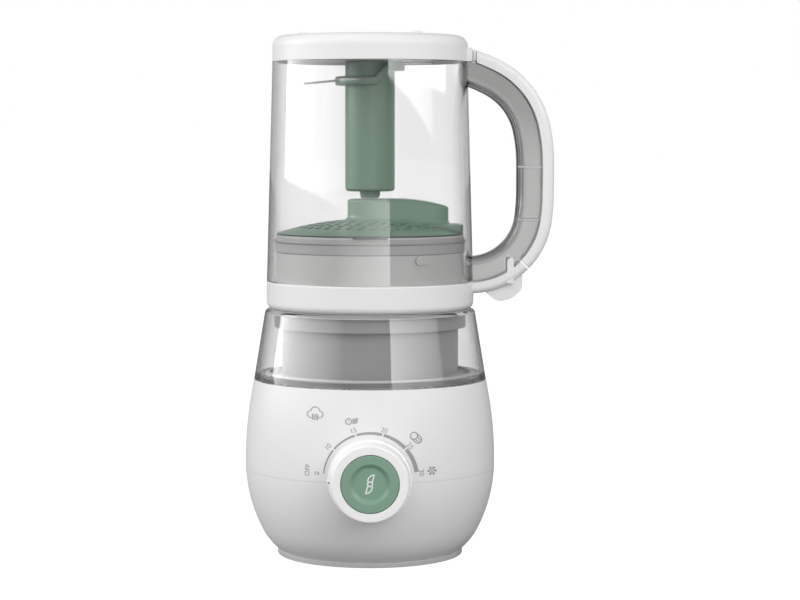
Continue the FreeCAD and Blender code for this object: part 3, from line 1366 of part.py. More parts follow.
def make_lid_rim():
    floor = SEAT_Z + LID_FLOOR_T
    inner = CUP_R + CUP_RING_GAP
    ring = lathe([(0, SEAT_Z), (LID_R, SEAT_Z, LID_EDGE), (LID_R, LID_TOP_Z, SOFT_EDGE), (inner, LID_TOP_Z),
                  (inner, floor), (0, floor)])
    spigot_r = WELL_R - SPIGOT_GAP
    spigot = tube(spigot_r, spigot_r - SPIGOT_WALL, SEAT_Z - SPIGOT_DEPTH, SEAT_Z + LID_FLOOR_T / 2)
    arm = handle_strip(0, COVER_DEPTH - SLIDE_GAP, ARM_TOP_ANGLE, HANDLE_LOWER_ARCS[-1][1], HANDLE_HALF_W)
    arm = round_strip(arm, 0, HANDLE_HALF_W, min(COVER_EDGE, COVER_DEPTH / 2))
    root = handle_point(-70.0, COVER_DEPTH / 2)
    tongue_half = TONGUE_W / 2
    tongue = slab_y([(TONGUE_X - tongue_half, root.z), (TONGUE_X + tongue_half, root.z),
                     (TONGUE_X + tongue_half, TONGUE_TOP_Z, tongue_half * FULL_ROUND),
                     (TONGUE_X - tongue_half, TONGUE_TOP_Z, tongue_half * FULL_ROUND)],
                    HANDLE_HALF_W - SLIDE_GAP)
    arm_middle = handle_point(-50.0, COVER_DEPTH / 2).z
    corners = ((TAB_X0, TAB_CORNER), (TAB_X0 + TAB_CORNER * 1.3, 0), (TAB_X1 - TAB_CORNER, TAB_CORNER * 0.4),
               (TAB_X1, TAB_CORNER * 1.3))
    outline = [(x, TAB_BOTTOM_Z + rise, TAB_ROUNDS[i]) for i, (x, rise) in enumerate(corners)]
    tab = slab_y([(TAB_X0, root.z)] + outline + [(TAB_X1, arm_middle)], TAB_HALF_W)
    last_angle = HANDLE_LOWER_ARCS[-1][1]
    above_arm = handle_strip(COVER_DEPTH - SLIDE_GAP, HANDLE_DEPTH, ARM_TOP_ANGLE / 2, last_angle,
                             HANDLE_HALF_W)
    body = fuse(ring, spigot, arm, tab.cut(above_arm), tongue)
    keep_out = rod(inner, floor, LID_TOP_Z)
    return cut(body, keep_out, rod(GROMMET_R, SEAT_Z, floor, STEAM_X, 0))


def make_steam_grommet():
    floor = SEAT_Z + LID_FLOOR_T
    return lathe_at([(GROMMET_BORE_R, SEAT_Z), (GROMMET_R, SEAT_Z), (GROMMET_R, floor),
                     (GROMMET_BORE_R, floor)],
                    STEAM_X, 0)


def seal_bottom():
    return CUP_TOP_Z - SEAL_BAND_DROP - SEAL_BAND_H


def seal_seat_r():
    return cup_r(CUP_TOP_Z) - SEAL_SEAT_DEPTH


def make_lid_cup():
    floor = SEAT_Z + LID_FLOOR_T
    seal_z0, seal_z1, seat = seal_bottom(), seal_bottom() + SEAL_BAND_H, seal_seat_r()
    mouth = cup_r(CUP_TOP_Z)
    body = lathe([(0, floor), (CUP_R, floor, BROAD_EDGE), (cup_r(seal_z0), seal_z0), (seat, seal_z0),
                  (seat, seal_z1),
                  (cup_r(seal_z1), seal_z1), (mouth, CUP_TOP_Z), (mouth - CUP_WALL, CUP_TOP_Z),
                  (CUP_R - CUP_WALL, floor + CUP_WALL, DEEP_EDGE), (0, floor + CUP_WALL)])
    riser = rod(RISER_R, floor, floor + RISER_H, STEAM_X, 0)
    half_w, half_h = CUP_LUG_W / 2, CUP_LUG_H / 2
    face = cup_r(CUP_LUG_Z) - CUP_WALL / 2
    round_end = half_h * FULL_ROUND
    wire = rounded_wire([(-half_w, -half_h, round_end), (half_w, -half_h, round_end),
                         (half_w, half_h, round_end),
                         (-half_w, half_h, round_end)], lambda y, z: Vector(face, y, CUP_LUG_Z + z))
    lug = Part.Face(wire).extrude(Vector(CUP_WALL / 2 + CUP_LUG_PROUD, 0, 0))
    body = fuse(body, riser, turned(lug, CUP_LUG_ANGLE))
    return cut(body, rod(RISER_BORE_R, floor, floor + RISER_H, STEAM_X, 0))


def make_lid_seal():
    seat = seal_seat_r()
    bottom, top = seal_bottom(), seal_bottom() + SEAL_BAND_H
    ledge = CUP_TOP_Z - SEAL_LEDGE_DROP
    inner = cup_r(CUP_TOP_Z) + FIT_GAP
    band, lip = inner + SEAL_BAND_PROUD, inner + SEAL_LIP_PROUD
    return lathe([(seat, bottom), (inner, bottom), (band, bottom + SEAL_BAND_PROUD, HAIR_EDGE),
                  (band, ledge - SEAL_LIP_H, FINE_EDGE),
                  (lip, ledge - SEAL_LIP_H / 3, HAIR_EDGE), (lip, ledge, HAIR_EDGE),
                  (inner, ledge), (inner, top),
                  (seat, top)])


def hood_arc(inset):
    """Middle of the arc in which the hood's top falls from the tower to its end, and its two ends."""
    top = CUP_TOP_Z + TOWER_TOP - inset
    start = Vector(HOOD_FLAT_X, 0, top)
    end = Vector(HOOD_X - inset, 0, top - HOOD_FALL)
    radius = arc_radius(end.x - start.x, HOOD_FALL)
    middle_x = (start.x + end.x) / 2
    middle_z = top - radius + math.sqrt(radius ** 2 - (middle_x - start.x) ** 2)
    return start, Vector(middle_x, 0, middle_z), end


def tower_plan(inset):
    """Outline of the tower and its hood seen from above, at the strainer's foot."""
    half, corner = TOWER_R - inset, HOOD_CORNER - inset
    end = HOOD_X - inset
    round_end = [Vector(0, half, 0), Vector(-half, 0, 0), Vector(0, -half, 0)]
    hood = rounded_wire([(0, -half), (end, -half, corner), (end, half, corner), (0, half)],
                        lambda x, y: Vector(x, y, 0))
    sides = [edge for edge in hood.Edges if edge.BoundBox.XMax > HOOD_CORNER / 2]
    plan = Part.Wire(Part.__sortEdges__([Part.Arc(*round_end).toShape()] + sides))
    plan.translate(Vector(0, 0, CUP_TOP_Z))
    return Part.Face(plan)


def tower_and_hood(inset):
    """Tower with its hood as one upright solid under the hood's falling top."""
    half = TOWER_R - inset
    start, middle, end = hood_arc(inset)
    corners = [start, Vector(-half, 0, start.z), Vector(-half, 0, CUP_TOP_Z), Vector(end.x, 0, CUP_TOP_Z),
               end]
    edges = [Part.LineSegment(a, b).toShape() for a, b in zip(corners, corners[1:])]
    side = Part.Face(Part.Wire(edges + [Part.Arc(end, middle, start).toShape()]))
    side.translate(Vector(0, -half, 0))
    solid = side.extrude(Vector(0, 2 * half, 0)).common(tower_plan(inset).extrude(Vector(0, 0, TOWER_TOP)))
    rim = [edge for edge in solid.Edges if edge.BoundBox.ZMin > end.z - FIT_GAP]
    return solid.makeFillet(TOWER_EDGE - inset / 2, rim)


def tower_foot(body):
    """Edges in which the tower and its hood stand on a body."""
    foot = tower_plan(0).OuterWire
    chosen = []
    for edge in body.Edges:
        middle = edge.valueAt((edge.FirstParameter + edge.LastParameter) / 2)
        level = edge.BoundBox.ZMax - edge.BoundBox.ZMin
        below = Part.Vertex(middle.x, middle.y, CUP_TOP_Z)
        on_foot = below.distToShape(foot)[0] < 0.01
        if on_foot and level < HOOD_FALL * 2 and middle.z < CUP_TOP_Z + STRAINER_RISE * 1.3:
            chosen.append(edge)
    return chosen


def strainer_dome(inset):
    sphere_r = arc_radius(STRAINER_R, STRAINER_RISE)
    centre = Vector(0, 0, CUP_TOP_Z + STRAINER_RIM_H + STRAINER_RISE - sphere_r)
    ball = Part.makeSphere(sphere_r - inset, centre)
    return rod(STRAINER_R - inset, CUP_TOP_Z, CUP_TOP_Z + TOWER_TOP).common(ball)


def strainer_ledge(x0, inset):
    half = LEDGE_HALF_W - inset
    shelf = block(x0, STRAINER_R, -half, half, CUP_TOP_Z, CUP_TOP_Z + LEDGE_TOP - inset)
    return shelf.common(rod(STRAINER_R - inset, CUP_TOP_Z, CUP_TOP_Z + TOWER_TOP))


def strainer_holes():
    holes = []
    radius = HOLE_FIRST_R
    ring = 0
    while radius <= HOLE_LAST_R:
        count = int(2 * math.pi * radius / HOLE_PITCH)
        for i in range(count):
            angle = 2 * math.pi * (i + 0.5 * (ring % 2)) / count
            x, y = radius * math.cos(angle), radius * math.sin(angle)
            if x > 0 and abs(y) < HOLE_CLEAR_Y:
                continue
            holes.append(rod(HOLE_R, CUP_TOP_Z, CUP_TOP_Z + TOWER_TOP, x, y))
        radius += HOLE_RING_STEP
        ring += 1
    return holes


def make_strainer():
    lip_z = CUP_TOP_Z - SEAL_BAND_DROP + FIT_GAP
    tab_r = STRAINER_R + STRAINER_TAB_PROUD
    tab = fuse(tube(tab_r, cup_r(lip_z) + FIT_GAP, lip_z, CUP_TOP_Z + STRAINER_TAB_H),
               tube(tab_r, STRAINER_R - STRAINER_WALL, CUP_TOP_Z, CUP_TOP_Z + STRAINER_TAB_H))
    tab = tab.common(block(-STRAINER_TAB_HALF_W, STRAINER_TAB_HALF_W, -tab_r, 0, lip_z,
                           CUP_TOP_Z + TOWER_TOP))
    rim = tube(STRAINER_R, STRAINER_R - STRAINER_WALL, CUP_TOP_Z, CUP_TOP_Z + STRAINER_RIM_H)
    tower = tower_and_hood(0)
    dome = fuse(strainer_dome(0), tower)
    dome = dome.makeFillet(TOWER_FLARE, tower_foot(dome))
    shelf = fuse(strainer_ledge(-STRAINER_R, 0), tower)
    shelf = shelf.makeFillet(TOWER_FLARE, tower_foot(shelf))
    shelf = shelf.common(block(HOOD_X / 2, STRAINER_R, -STRAINER_R, STRAINER_R, CUP_TOP_Z,
                               CUP_TOP_Z + TOWER_TOP))
    wall = STRAINER_WALL
    hollow = fuse(strainer_dome(wall), tower_and_hood(wall), strainer_ledge(HOOD_X / 2, wall))
    return cut(fuse(dome, shelf, rim, tab), hollow, *strainer_holes())


# Jar: wall, cap, spindle, coupling and handle

def jar_r(z):
    """Outer radius of the jar's tapered wall."""
    return JAR_MOUTH_R + (JAR_END_R - JAR_MOUTH_R) * (z - LID_TOP_Z) / (CAP_Z - LID_TOP_Z)


def cap_inner_r():
    return CAP_R - CAP_WALL


def dish_z():
    """Underside of the jar's end in the middle of its shallow dish."""
    return JAR_CEILING_Z + JAR_DISH_RISE


def make_jar():
    mouth, end = jar_r(LID_TOP_Z), jar_r(CAP_Z)
    return lathe([(mouth, LID_TOP_Z, FINE_EDGE), (end, CAP_Z), (end - JAR_WALL, CAP_Z),
                  (mouth - JAR_WALL, LID_TOP_Z, FINE_EDGE)])


def make_jar_end():
    """White end plate that closes the jar, dished on the inside, with the hub of the spindle's bush."""
    inside = jar_r(CAP_Z) - JAR_WALL - SLIDE_GAP
    neck = cap_inner_r() - CAP_SKIRT_GAP
    hub_top = JAR_TOP_Z + JAR_HUB_H
    return lathe([(inside, JAR_CEILING_Z), (inside, CAP_Z), (neck, CAP_Z), (neck, JAR_TOP_Z, BROAD_EDGE),
                  (JAR_HUB_R, JAR_TOP_Z), (JAR_HUB_R, hub_top), (BUSH_R, hub_top), (BUSH_R, dish_z()),
                  (JAR_DISH_R, dish_z()), (JAR_DISH_R + JAR_DISH_SLOPE, JAR_CEILING_Z)])


def make_spindle_bush():
    return tube(BUSH_R, SPINDLE_R + RUN_GAP, dish_z() - BUSH_STAND, JAR_TOP_Z + JAR_HUB_H)


def seal_top_z():
    return JAR_TOP_Z + JAR_HUB_H + SPINDLE_SEAL_H


def make_spindle_seal():
    return tube(SPINDLE_SEAL_R, SPINDLE_R + FIT_GAP, JAR_TOP_Z + JAR_HUB_H, seal_top_z())


def make_jar_cap():
    well = JAR_TOP_Z + CAP_WALL - CAP_WELL_THIN
    inner = cap_inner_r()
    roof = CAP_TOP_Z - CAP_WALL
    hub = JAR_HUB_R + SLIDE_GAP
    well_out = CAP_WELL_R + CAP_WALL
    body = lathe([(inner, CAP_Z), (CAP_R, CAP_Z), (CAP_R, CAP_TOP_Z, CAP_EDGE),
                  (CAP_WELL_R, CAP_TOP_Z, CAP_WELL_EDGE),
                  (CAP_WELL_R, well), (hub, well), (hub, JAR_TOP_Z), (well_out, JAR_TOP_Z), (well_out, roof),
                  (inner, roof, CAP_EDGE - CAP_WALL)])
    lug = sector(CAP_LUG_R - CAP_LUG_T / 2, CAP_LUG_R + CAP_LUG_T / 2, roof, CAP_TOP_Z + CAP_LUG_H, 0,
                 math.degrees(CAP_LUG_W / CAP_LUG_R))
    lugs = [turned(lug, CAP_LUG_START + i * 360 / CAP_LUGS) for i in range(CAP_LUGS)]
    ear = block(inner + CAP_WALL / 2, CLIP_X, -EAR_HALF_W, EAR_HALF_W, CAP_Z, CAP_Z + EAR_H)
    ear = ear.makeFillet(EAR_EDGE, [e for e in ear.Edges if all(v.X > CAP_R for v in e.Vertexes) and
                                    all(v.Z > CAP_Z + 1 for v in e.Vertexes)])
    return fuse(body, ear.cut(rod(inner, CAP_Z, CAP_TOP_Z)), *lugs)


def make_handle_clip():
    clip = block(CLIP_X + CLIP_GAP, CLIP_X + CLIP_T, -EAR_HALF_W, EAR_HALF_W, CAP_Z + CLIP_GAP,
                 CAP_Z + EAR_H - EAR_EDGE)
    return clip.makeFillet(FINE_EDGE, [e for e in clip.Edges if all(v.Z > CAP_Z + 1 for v in e.Vertexes)])


def make_spindle():
    bottom = JAR_CEILING_Z - SPINDLE_ENTRY
    top = seal_top_z() + SLIDE_GAP + JAR_COUPLING_H - 0.5
    return lathe([(0, bottom), (SPINDLE_R, bottom, SOFT_EDGE), (SPINDLE_R, top, FINE_EDGE), (0, top)])


def make_jar_coupling():
    z = seal_top_z() + SLIDE_GAP
    return toothed_disc(COUPLING_R, SPINDLE_R, z, JAR_COUPLING_H, JAR_COUPLING_H / 2, COUPLING_TEETH)


def blade_levels():
    """Undersides of the low and the high blade wing."""
    top = JAR_CEILING_Z
    return top - BLADE_LOW_DROP, top - BLADE_HIGH_DROP


def blade_wing(reach, z, angle, tilt, span):
    """One slim sickle wing along +X, its tip tilted down, on the strip of steel that wraps the column."""
    half = BLADE_ROOT_W / 2
    root = HUB_COLUMN_R
    tip = Vector(reach, -half / 2, z)
    lead = Part.Arc(Vector(root, half, z), Vector((root + reach) / 2, half * 0.7, z), tip).toShape()
    trail = Part.Arc(tip, Vector((root + reach) / 2, -half * 0.6, z), Vector(root, -half, z)).toShape()
    back = Part.LineSegment(Vector(root, -half, z), Vector(root, half, z)).toShape()
    wing = Part.Face(Part.Wire([lead, trail, back])).extrude(Vector(0, 0, BLADE_T))
    wing.rotate(Vector(root, 0, z), Y_AXIS, tilt)
    strip = sector(root - BLADE_ROOT_DEPTH, COLLAR_R + BLADE_PROUD, z, z + BLADE_T, span[0],
                   span[1] - span[0])
    return fuse(turned(wing, angle), strip)


def make_blade_steel():
    low, high = blade_levels()
    return [blade_wing(BLADE_LOW_R, low, 180, BLADE_LOW_TILT, BLADE_LOW_SPAN),
            blade_wing(BLADE_HIGH_R, high, 0, BLADE_HIGH_TILT, BLADE_HIGH_SPAN)]


def blade_collar(z0, z1, span):
    """Part of a rounded collar on the column, which holds one wing."""
    inner = HUB_COLUMN_R - BLADE_ROOT_DEPTH
    corners = [(inner, z0), (COLLAR_R, z0, COLLAR_EDGE), (COLLAR_R, z1, COLLAR_EDGE), (inner, z1)]
    face = Part.Face(rounded_wire(corners, lambda r, z: Vector(r, 0, z)))
    return turned(face.revolve(Vector(), Z_AXIS, span[1] - span[0]), span[0])


def blade_ramp(low, high):
    """Rounded rib on the column's front, which climbs from the low collar's end to the high collar."""
    (x0, _), (x1, _) = on_circle(COLLAR_R, (LOW_COLLAR_SPAN[1], HIGH_COLLAR_SPAN[0]))
    reach = COLLAR_R - RAMP_STEP
    low_z = low - COLLAR_H / 2 + RAMP_LIFT
    high_z = high + BLADE_T - COLLAR_H + RAMP_LIFT
    height = COLLAR_H - 2 * RAMP_LIFT
    lower = [(x0 - RAMP_LAP, low_z), (x0, low_z, RAMP_TURN), (x1, high_z, RAMP_TURN), (x1 + RAMP_LAP, high_z)]
    upper = [(x1 + RAMP_LAP, high_z + height), (x1 - RAMP_LEAN, high_z + height, RAMP_TURN),
             (x0 - RAMP_LEAN, low_z + height, RAMP_TURN), (x0 - RAMP_LAP, low_z + height)]
    front = block(x0 - RAMP_LAP, x1 + RAMP_LAP, -COLLAR_R, 0, low_z, high_z + height)
    rib = slab_y(lower + upper, COLLAR_R).common(front).common(rod(reach, low_z, high_z + height)).Solids[0]
    rims = [e for e in rib.Edges if all(abs(math.hypot(p.x, p.y) - reach) < 0.01 for p in e.discretize(5))]
    along = [e for e in rims if e.BoundBox.XLength > e.Length / 5]
    return rib.makeFillet(COLLAR_EDGE - RAMP_STEP, along)


def make_blade_hub():
    top = dish_z() - BUSH_STAND - SLIDE_GAP
    tip = COLUMN_BOTTOM - TIP_H
    low, high = blade_levels()
    column = lathe([(0, tip), (TIP_END_R, tip, BROAD_EDGE), (TIP_R, COLUMN_BOTTOM),
                    (HUB_COLUMN_R, COLUMN_BOTTOM, COLUMN_EDGE), (HUB_COLUMN_R, top, BROAD_EDGE), (0, top)])
    collars = [blade_collar(low - COLLAR_H / 2, low + COLLAR_H / 2, LOW_COLLAR_SPAN),
               blade_collar(high + BLADE_T - COLLAR_H, top, HIGH_COLLAR_SPAN)]
    bore = rod(SPINDLE_R, JAR_CEILING_Z - SPINDLE_ENTRY, top)
    body = fuse(column, *collars, blade_ramp(low, high)).common(rod(COLLAR_R, tip, top))
    return cut(body, bore, *make_blade_steel())


def jar_keep_out():
    """The jar's outer wall filled in, with the cap above it."""
    low = SEAT_Z
    high = CAP_TOP_Z
    return fuse(lathe([(0, low), (jar_r(low), low), (jar_r(high), high), (0, high)]),
                rod(LID_R + SLIDE_GAP, low, LID_TOP_Z))


def make_handle_frame():
    top, bottom = HANDLE_UPPER_ARCS[-1][1], HANDLE_LOWER_ARCS[-1][1]
    outer = handle_strip(COVER_DEPTH, HANDLE_DEPTH, top, bottom, HANDLE_HALF_W)
    outer = round_strip(outer, HANDLE_DEPTH, HANDLE_HALF_W, FRAME_EDGE)
    hollow_half = HANDLE_HALF_W - FRAME_WALL
    hollow = handle_strip(COVER_DEPTH - 1, HANDLE_DEPTH - FRAME_WALL, top, bottom, hollow_half)
    hollow = round_strip(hollow, HANDLE_DEPTH - FRAME_WALL, hollow_half, FRAME_EDGE - FRAME_WALL)
    for drop in FRAME_RIB_DROPS:
        z = HANDLE_HIGH_Z - drop
        hollow = hollow.cut(block(HANDLE_REACH - HANDLE_DEPTH, HANDLE_REACH - COVER_DEPTH - FIT_GAP,
                                  -HANDLE_HALF_W,
                                  HANDLE_HALF_W, z - FRAME_RIB_T, z))
    slot_half = TONGUE_W / 2 + TONGUE_GAP
    slot = slab_y([(TONGUE_X - slot_half, SEAT_Z), (TONGUE_X + slot_half, SEAT_Z),
                   (TONGUE_X + slot_half, TONGUE_TOP_Z + TONGUE_GAP, slot_half * FULL_ROUND),
                   (TONGUE_X - slot_half, TONGUE_TOP_Z + TONGUE_GAP, slot_half * FULL_ROUND)], HANDLE_HALF_W)
    return cut(outer, hollow, slot, jar_keep_out(), clip_space(CAP_Z))


def clip_space(bottom):
    """Room for the cap's ear and the clip, which the handle's top end stops short of."""
    return block(0, CLIP_X + CLIP_T + FIT_GAP, -2 * HANDLE_HALF_W, 2 * HANDLE_HALF_W, bottom,
                 CAP_TOP_Z + EAR_H)


def make_handle_cover():
    top = HANDLE_UPPER_ARCS[-1][1]
    strip = handle_strip(0, COVER_DEPTH, top, COVER_END_ANGLE, HANDLE_HALF_W)
    strip = round_strip(strip, 0, HANDLE_HALF_W, min(COVER_EDGE, COVER_DEPTH / 2))
    hollow_half = HANDLE_HALF_W - COVER_WALL
    bottom = COVER_END_ANGLE + COVER_WALL
    hollow = handle_strip(COVER_WALL, COVER_DEPTH, HANDLE_UPPER_ARCS[1][1], bottom, hollow_half)
    return cut(strip, hollow, clip_space(LID_TOP_Z))


NODES = {
    "base_plate": make_base_plate, "rubber_feet": make_rubber_feet, "lower_housing": make_lower_housing,
    "upper_housing": make_upper_housing, "housing_screws": make_housing_screws, "cord_gland": make_cord_gland,
    "control_knob": make_control_knob, "blend_button": make_blend_button,
    "button_plunger": make_button_plunger,
    "button_spring": make_button_spring, "timer_unit": make_timer_unit, "timer_screws": make_timer_screws,
    "blend_switch": make_blend_switch, "tank_window": make_tank_window, "tank_core": make_tank_core,
    "tank_gasket": make_tank_gasket, "filler_plug": make_filler_plug, "plug_seal": make_plug_seal,
    "jar_seat": make_jar_seat, "shaft_seal": make_shaft_seal, "interlock_pin": make_interlock_pin,
    "interlock_spring": make_interlock_spring, "interlock_switch": make_interlock_switch,
    "motor_dampers": make_motor_dampers, "motor_fasteners": make_motor_fasteners,
    "lower_bracket": make_lower_bracket, "upper_bracket": make_upper_bracket,
    "motor_bearings": make_motor_bearings,
    "motor_stator": make_motor_stator, "field_coils": make_field_coils, "brush_boxes": make_brush_boxes,
    "motor_shaft": make_motor_shaft, "armature": make_armature, "commutator": make_commutator,
    "cooling_fan": make_cooling_fan, "drive_coupling": make_drive_coupling, "boiler_body": make_boiler_body,
    "boiler_lid": make_boiler_lid, "heating_element": make_heating_element, "thermostat": make_thermostat,
    "hoses": make_hoses, "steam_nozzle": make_steam_nozzle, "control_board": make_control_board,
    "lid_rim": make_lid_rim, "steam_grommet": make_steam_grommet, "lid_cup": make_lid_cup,
    "lid_seal": make_lid_seal,
    "strainer": make_strainer, "jar": make_jar, "jar_end": make_jar_end, "jar_cap": make_jar_cap,
    "handle_frame": make_handle_frame,
    "handle_cover": make_handle_cover, "handle_clip": make_handle_clip, "spindle_bush": make_spindle_bush,
    "spindle_seal": make_spindle_seal, "blade_hub": make_blade_hub, "blade_steel": make_blade_steel,
    "spindle": make_spindle, "jar_coupling": make_jar_coupling,
}


def main():
    os.makedirs("parts", exist_ok=True)
    for name, make in NODES.items():
        made = make()
        solids = made if isinstance(made, list) else made.Solids
        shape = solids[0] if len(solids) == 1 else Part.makeCompound(solids)
        valid = "" if shape.isValid() else "  NOT VALID"
        print(f"{name}: {len(solids)} solid(s), {shape.Volume / 1000:.2f} cm3{valid}")
        shape.exportStep(f"parts/{name}.step")


main()
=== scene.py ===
# %% [markdown]
# # A baby food maker, finished in Blender
# The machine stands in its steaming position: a round base with a dial, a smoky water tank, and a clear
# jar turned upside down on its lid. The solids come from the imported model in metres, standing on the
# table at zero height, with the dial towards -Y and the handle towards +X. This lesson sets up the
# studio, gives every solid its finish, and models the print on the dial, the mark on the knob, the sign
# on the button and the two wire springs.

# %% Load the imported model
import json
import math

import bpy
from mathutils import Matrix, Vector


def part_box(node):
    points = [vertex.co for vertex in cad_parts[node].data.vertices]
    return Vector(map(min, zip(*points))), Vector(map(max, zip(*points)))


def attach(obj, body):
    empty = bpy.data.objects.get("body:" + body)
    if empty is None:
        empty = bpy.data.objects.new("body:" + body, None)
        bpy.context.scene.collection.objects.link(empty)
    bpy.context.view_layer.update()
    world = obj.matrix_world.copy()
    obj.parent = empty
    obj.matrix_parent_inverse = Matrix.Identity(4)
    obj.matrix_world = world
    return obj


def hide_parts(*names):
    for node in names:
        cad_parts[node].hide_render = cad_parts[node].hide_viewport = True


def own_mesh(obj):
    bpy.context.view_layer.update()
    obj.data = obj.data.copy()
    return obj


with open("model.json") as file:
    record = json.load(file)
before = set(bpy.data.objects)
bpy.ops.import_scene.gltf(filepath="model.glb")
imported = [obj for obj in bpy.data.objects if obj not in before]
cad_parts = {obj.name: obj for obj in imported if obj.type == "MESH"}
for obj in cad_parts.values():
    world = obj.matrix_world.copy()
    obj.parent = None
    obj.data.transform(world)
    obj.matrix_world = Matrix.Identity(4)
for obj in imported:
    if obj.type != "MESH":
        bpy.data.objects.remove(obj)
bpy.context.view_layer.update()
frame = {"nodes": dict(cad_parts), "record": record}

scene = bpy.context.scene
scene.view_settings.view_transform = "Standard"
MM = 0.001

# %% [markdown]
# ## The camera
# The picture was taken with a long lens from a little above the lid, straight at the dial. One camera
# fitted to the circles of the lid, the tank and the foot gives a 103 mm lens on a 36 mm sensor, 1.39 m in
# front of the axis. The object stands a little left of the middle, which is a small sideways shift and
# not a turn.

# %% Place the camera
CAMERA_DISTANCE = 1.389
CAMERA_HEIGHT = 0.2563
CAMERA_TILT = math.radians(4.19)
FOCAL_PIXELS = 2292
IMAGE_WIDTH = 800
AXIS_PIXEL = 370
SENSOR = 36.0

camera_data = bpy.data.cameras.new("camera")
camera_data.sensor_width = SENSOR
camera_data.lens = SENSOR * FOCAL_PIXELS / IMAGE_WIDTH
camera_data.shift_x = (IMAGE_WIDTH / 2 - AXIS_PIXEL) / IMAGE_WIDTH
camera = bpy.data.objects.new("camera", camera_data)
scene.collection.objects.link(camera)
camera.location = (0, -CAMERA_DISTANCE, CAMERA_HEIGHT)
camera.rotation_euler = (math.pi / 2 - CAMERA_TILT, 0, 0)
scene.camera = camera
print("lens", round(camera_data.lens, 1), "mm")

# %% [markdown]
# ## A white world
# Such a product is photographed on white. A plain white world would light it from all sides and wash out
# its shading, so the world is white only where the camera or a clear wall looks at it, and gives a lower,
# even light to everything else. A Light Path node tells the two apart. What is reflected on the way is
# seen dimmer, or the clear edges would glow.

# %% Make the world
WORLD_LIGHT = 0.34
REFLECTION_DIM = 0.5
# Depths are whole numbers of bounces, so half a bounce parts none from some.
HALF_BOUNCE = 0.5
WHITE_LIGHT = (1, 1, 1, 1)


def feed(tree, source, socket):
    """Gives a socket its value: a plain number, or the output of another node."""
    if isinstance(source, float):
        socket.default_value = source
    else:
        tree.links.new(source, socket)


def join_numbers(tree, operation, first, second):
    """One number from two, each an output of a node or a plain number."""
    node = tree.nodes.new("ShaderNodeMath")
    node.operation = operation
    feed(tree, first, node.inputs[0])
    feed(tree, second, node.inputs[1])
    return node.outputs[0]


def seen_rays(tree):
    """1 for rays straight from the camera, through clear walls or not, less for those reflected on the way.

    It is 0 for light that falls on faces."""
    path = tree.nodes.new("ShaderNodeLightPath").outputs
    seen = join_numbers(tree, "MAXIMUM", path["Is Camera Ray"], path["Is Transmission Ray"])
    direct = join_numbers(tree, "LESS_THAN", path["Diffuse Depth"], HALF_BOUNCE)
    reflected = join_numbers(tree, "MINIMUM", path["Glossy Depth"], 1.0)
    share = join_numbers(tree, "SUBTRACT", 1.0, join_numbers(tree, "MULTIPLY", reflected, REFLECTION_DIM))
    return join_numbers(tree, "MULTIPLY", join_numbers(tree, "MULTIPLY", seen, direct), share)


def make_world():
    world = bpy.data.worlds.new("studio")
    world.use_nodes = True
    tree = world.node_tree
    light = tree.nodes["Background"]
    light.inputs["Color"].default_value = WHITE_LIGHT
    light.inputs["Strength"].default_value = WORLD_LIGHT
    white = tree.nodes.new("ShaderNodeBackground")
    white.inputs["Color"].default_value = WHITE_LIGHT
    mix = tree.nodes.new("ShaderNodeMixShader")
    tree.links.new(seen_rays(tree), mix.inputs[0])
    tree.links.new(light.outputs[0], mix.inputs[1])
    tree.links.new(white.outputs[0], mix.inputs[2])
    tree.links.new(mix.outputs[0], tree.nodes["World Output"].inputs["Surface"])
    scene.world = world


make_world()
print("world light", WORLD_LIGHT)

# %% [markdown]
# ## Soft boxes
# Clear plastic mirrors the lamps, so their edges decide where bright lines show in it. A wide box stands
# on each side, one hangs high over the camera, and a low panel stands below the camera. The right end of
# the panel gives the upright line in the jar, and the left end of the right box the one in the tank. The
# left box and the panel fade to nothing where their ends face each other, so that no second line shows.
# The right box is rolled a little, which keeps its lower edge out of the jar's steep wall but inside the
# tank's slanting one.

# %% Hang the soft boxes
BOX_DISTANCE = 1.5
# The brightness at a box's left end, seen from behind it, and how it changes up to the right end.
FADES_RIGHT = (2.0, -2.0)
FADES_LEFT = (0.0, 2.0)
FADES_PARTLY = (1.6, -1.2)
SOFT_BOXES = {
    "left_box": {"turn": -70, "height": 0.80, "size": (2.8, 1.1), "power": 26.0, "fade": FADES_RIGHT},
    "right_box": {"turn": 50, "height": 0.865, "size": (1.6, 1.0), "power": 14.0, "fade": FADES_PARTLY,
                  "roll": 3.6},
    "low_panel": {"turn": -9, "height": 0.13, "size": (1.8, 0.26), "power": 2.2, "fade": FADES_LEFT},
}
HIGH_BOX_PLACE = (0, -1.3, 1.3)
HIGH_BOX_TILT = math.radians(45)
HIGH_BOX_SIZE = (1.6, 0.9)
HIGH_BOX_POWER = 6.0


def make_lamp(name, place, turn, size, power):
    data = bpy.data.lights.new(name, "AREA")
    data.shape = "RECTANGLE"
    data.size, data.size_y = size
    data.energy = power
    lamp = bpy.data.objects.new(name, data)
    scene.collection.objects.link(lamp)
    lamp.location = place
    lamp.rotation_euler = turn
    lamp.visible_camera = False
    return data


def fade_lamp(data, start, change):
    """Lets the brightness change evenly across the box, from start at its left end to start + change."""
    data.use_nodes = True
    tree = data.node_tree
    across = tree.nodes.new("ShaderNodeSeparateXYZ")
    tree.links.new(tree.nodes.new("ShaderNodeNewGeometry").outputs["Parametric"], across.inputs[0])
    bright = join_numbers(tree, "ADD", join_numbers(tree, "MULTIPLY", across.outputs["X"], change), start)
    tree.links.new(bright, tree.nodes["Emission"].inputs["Strength"])


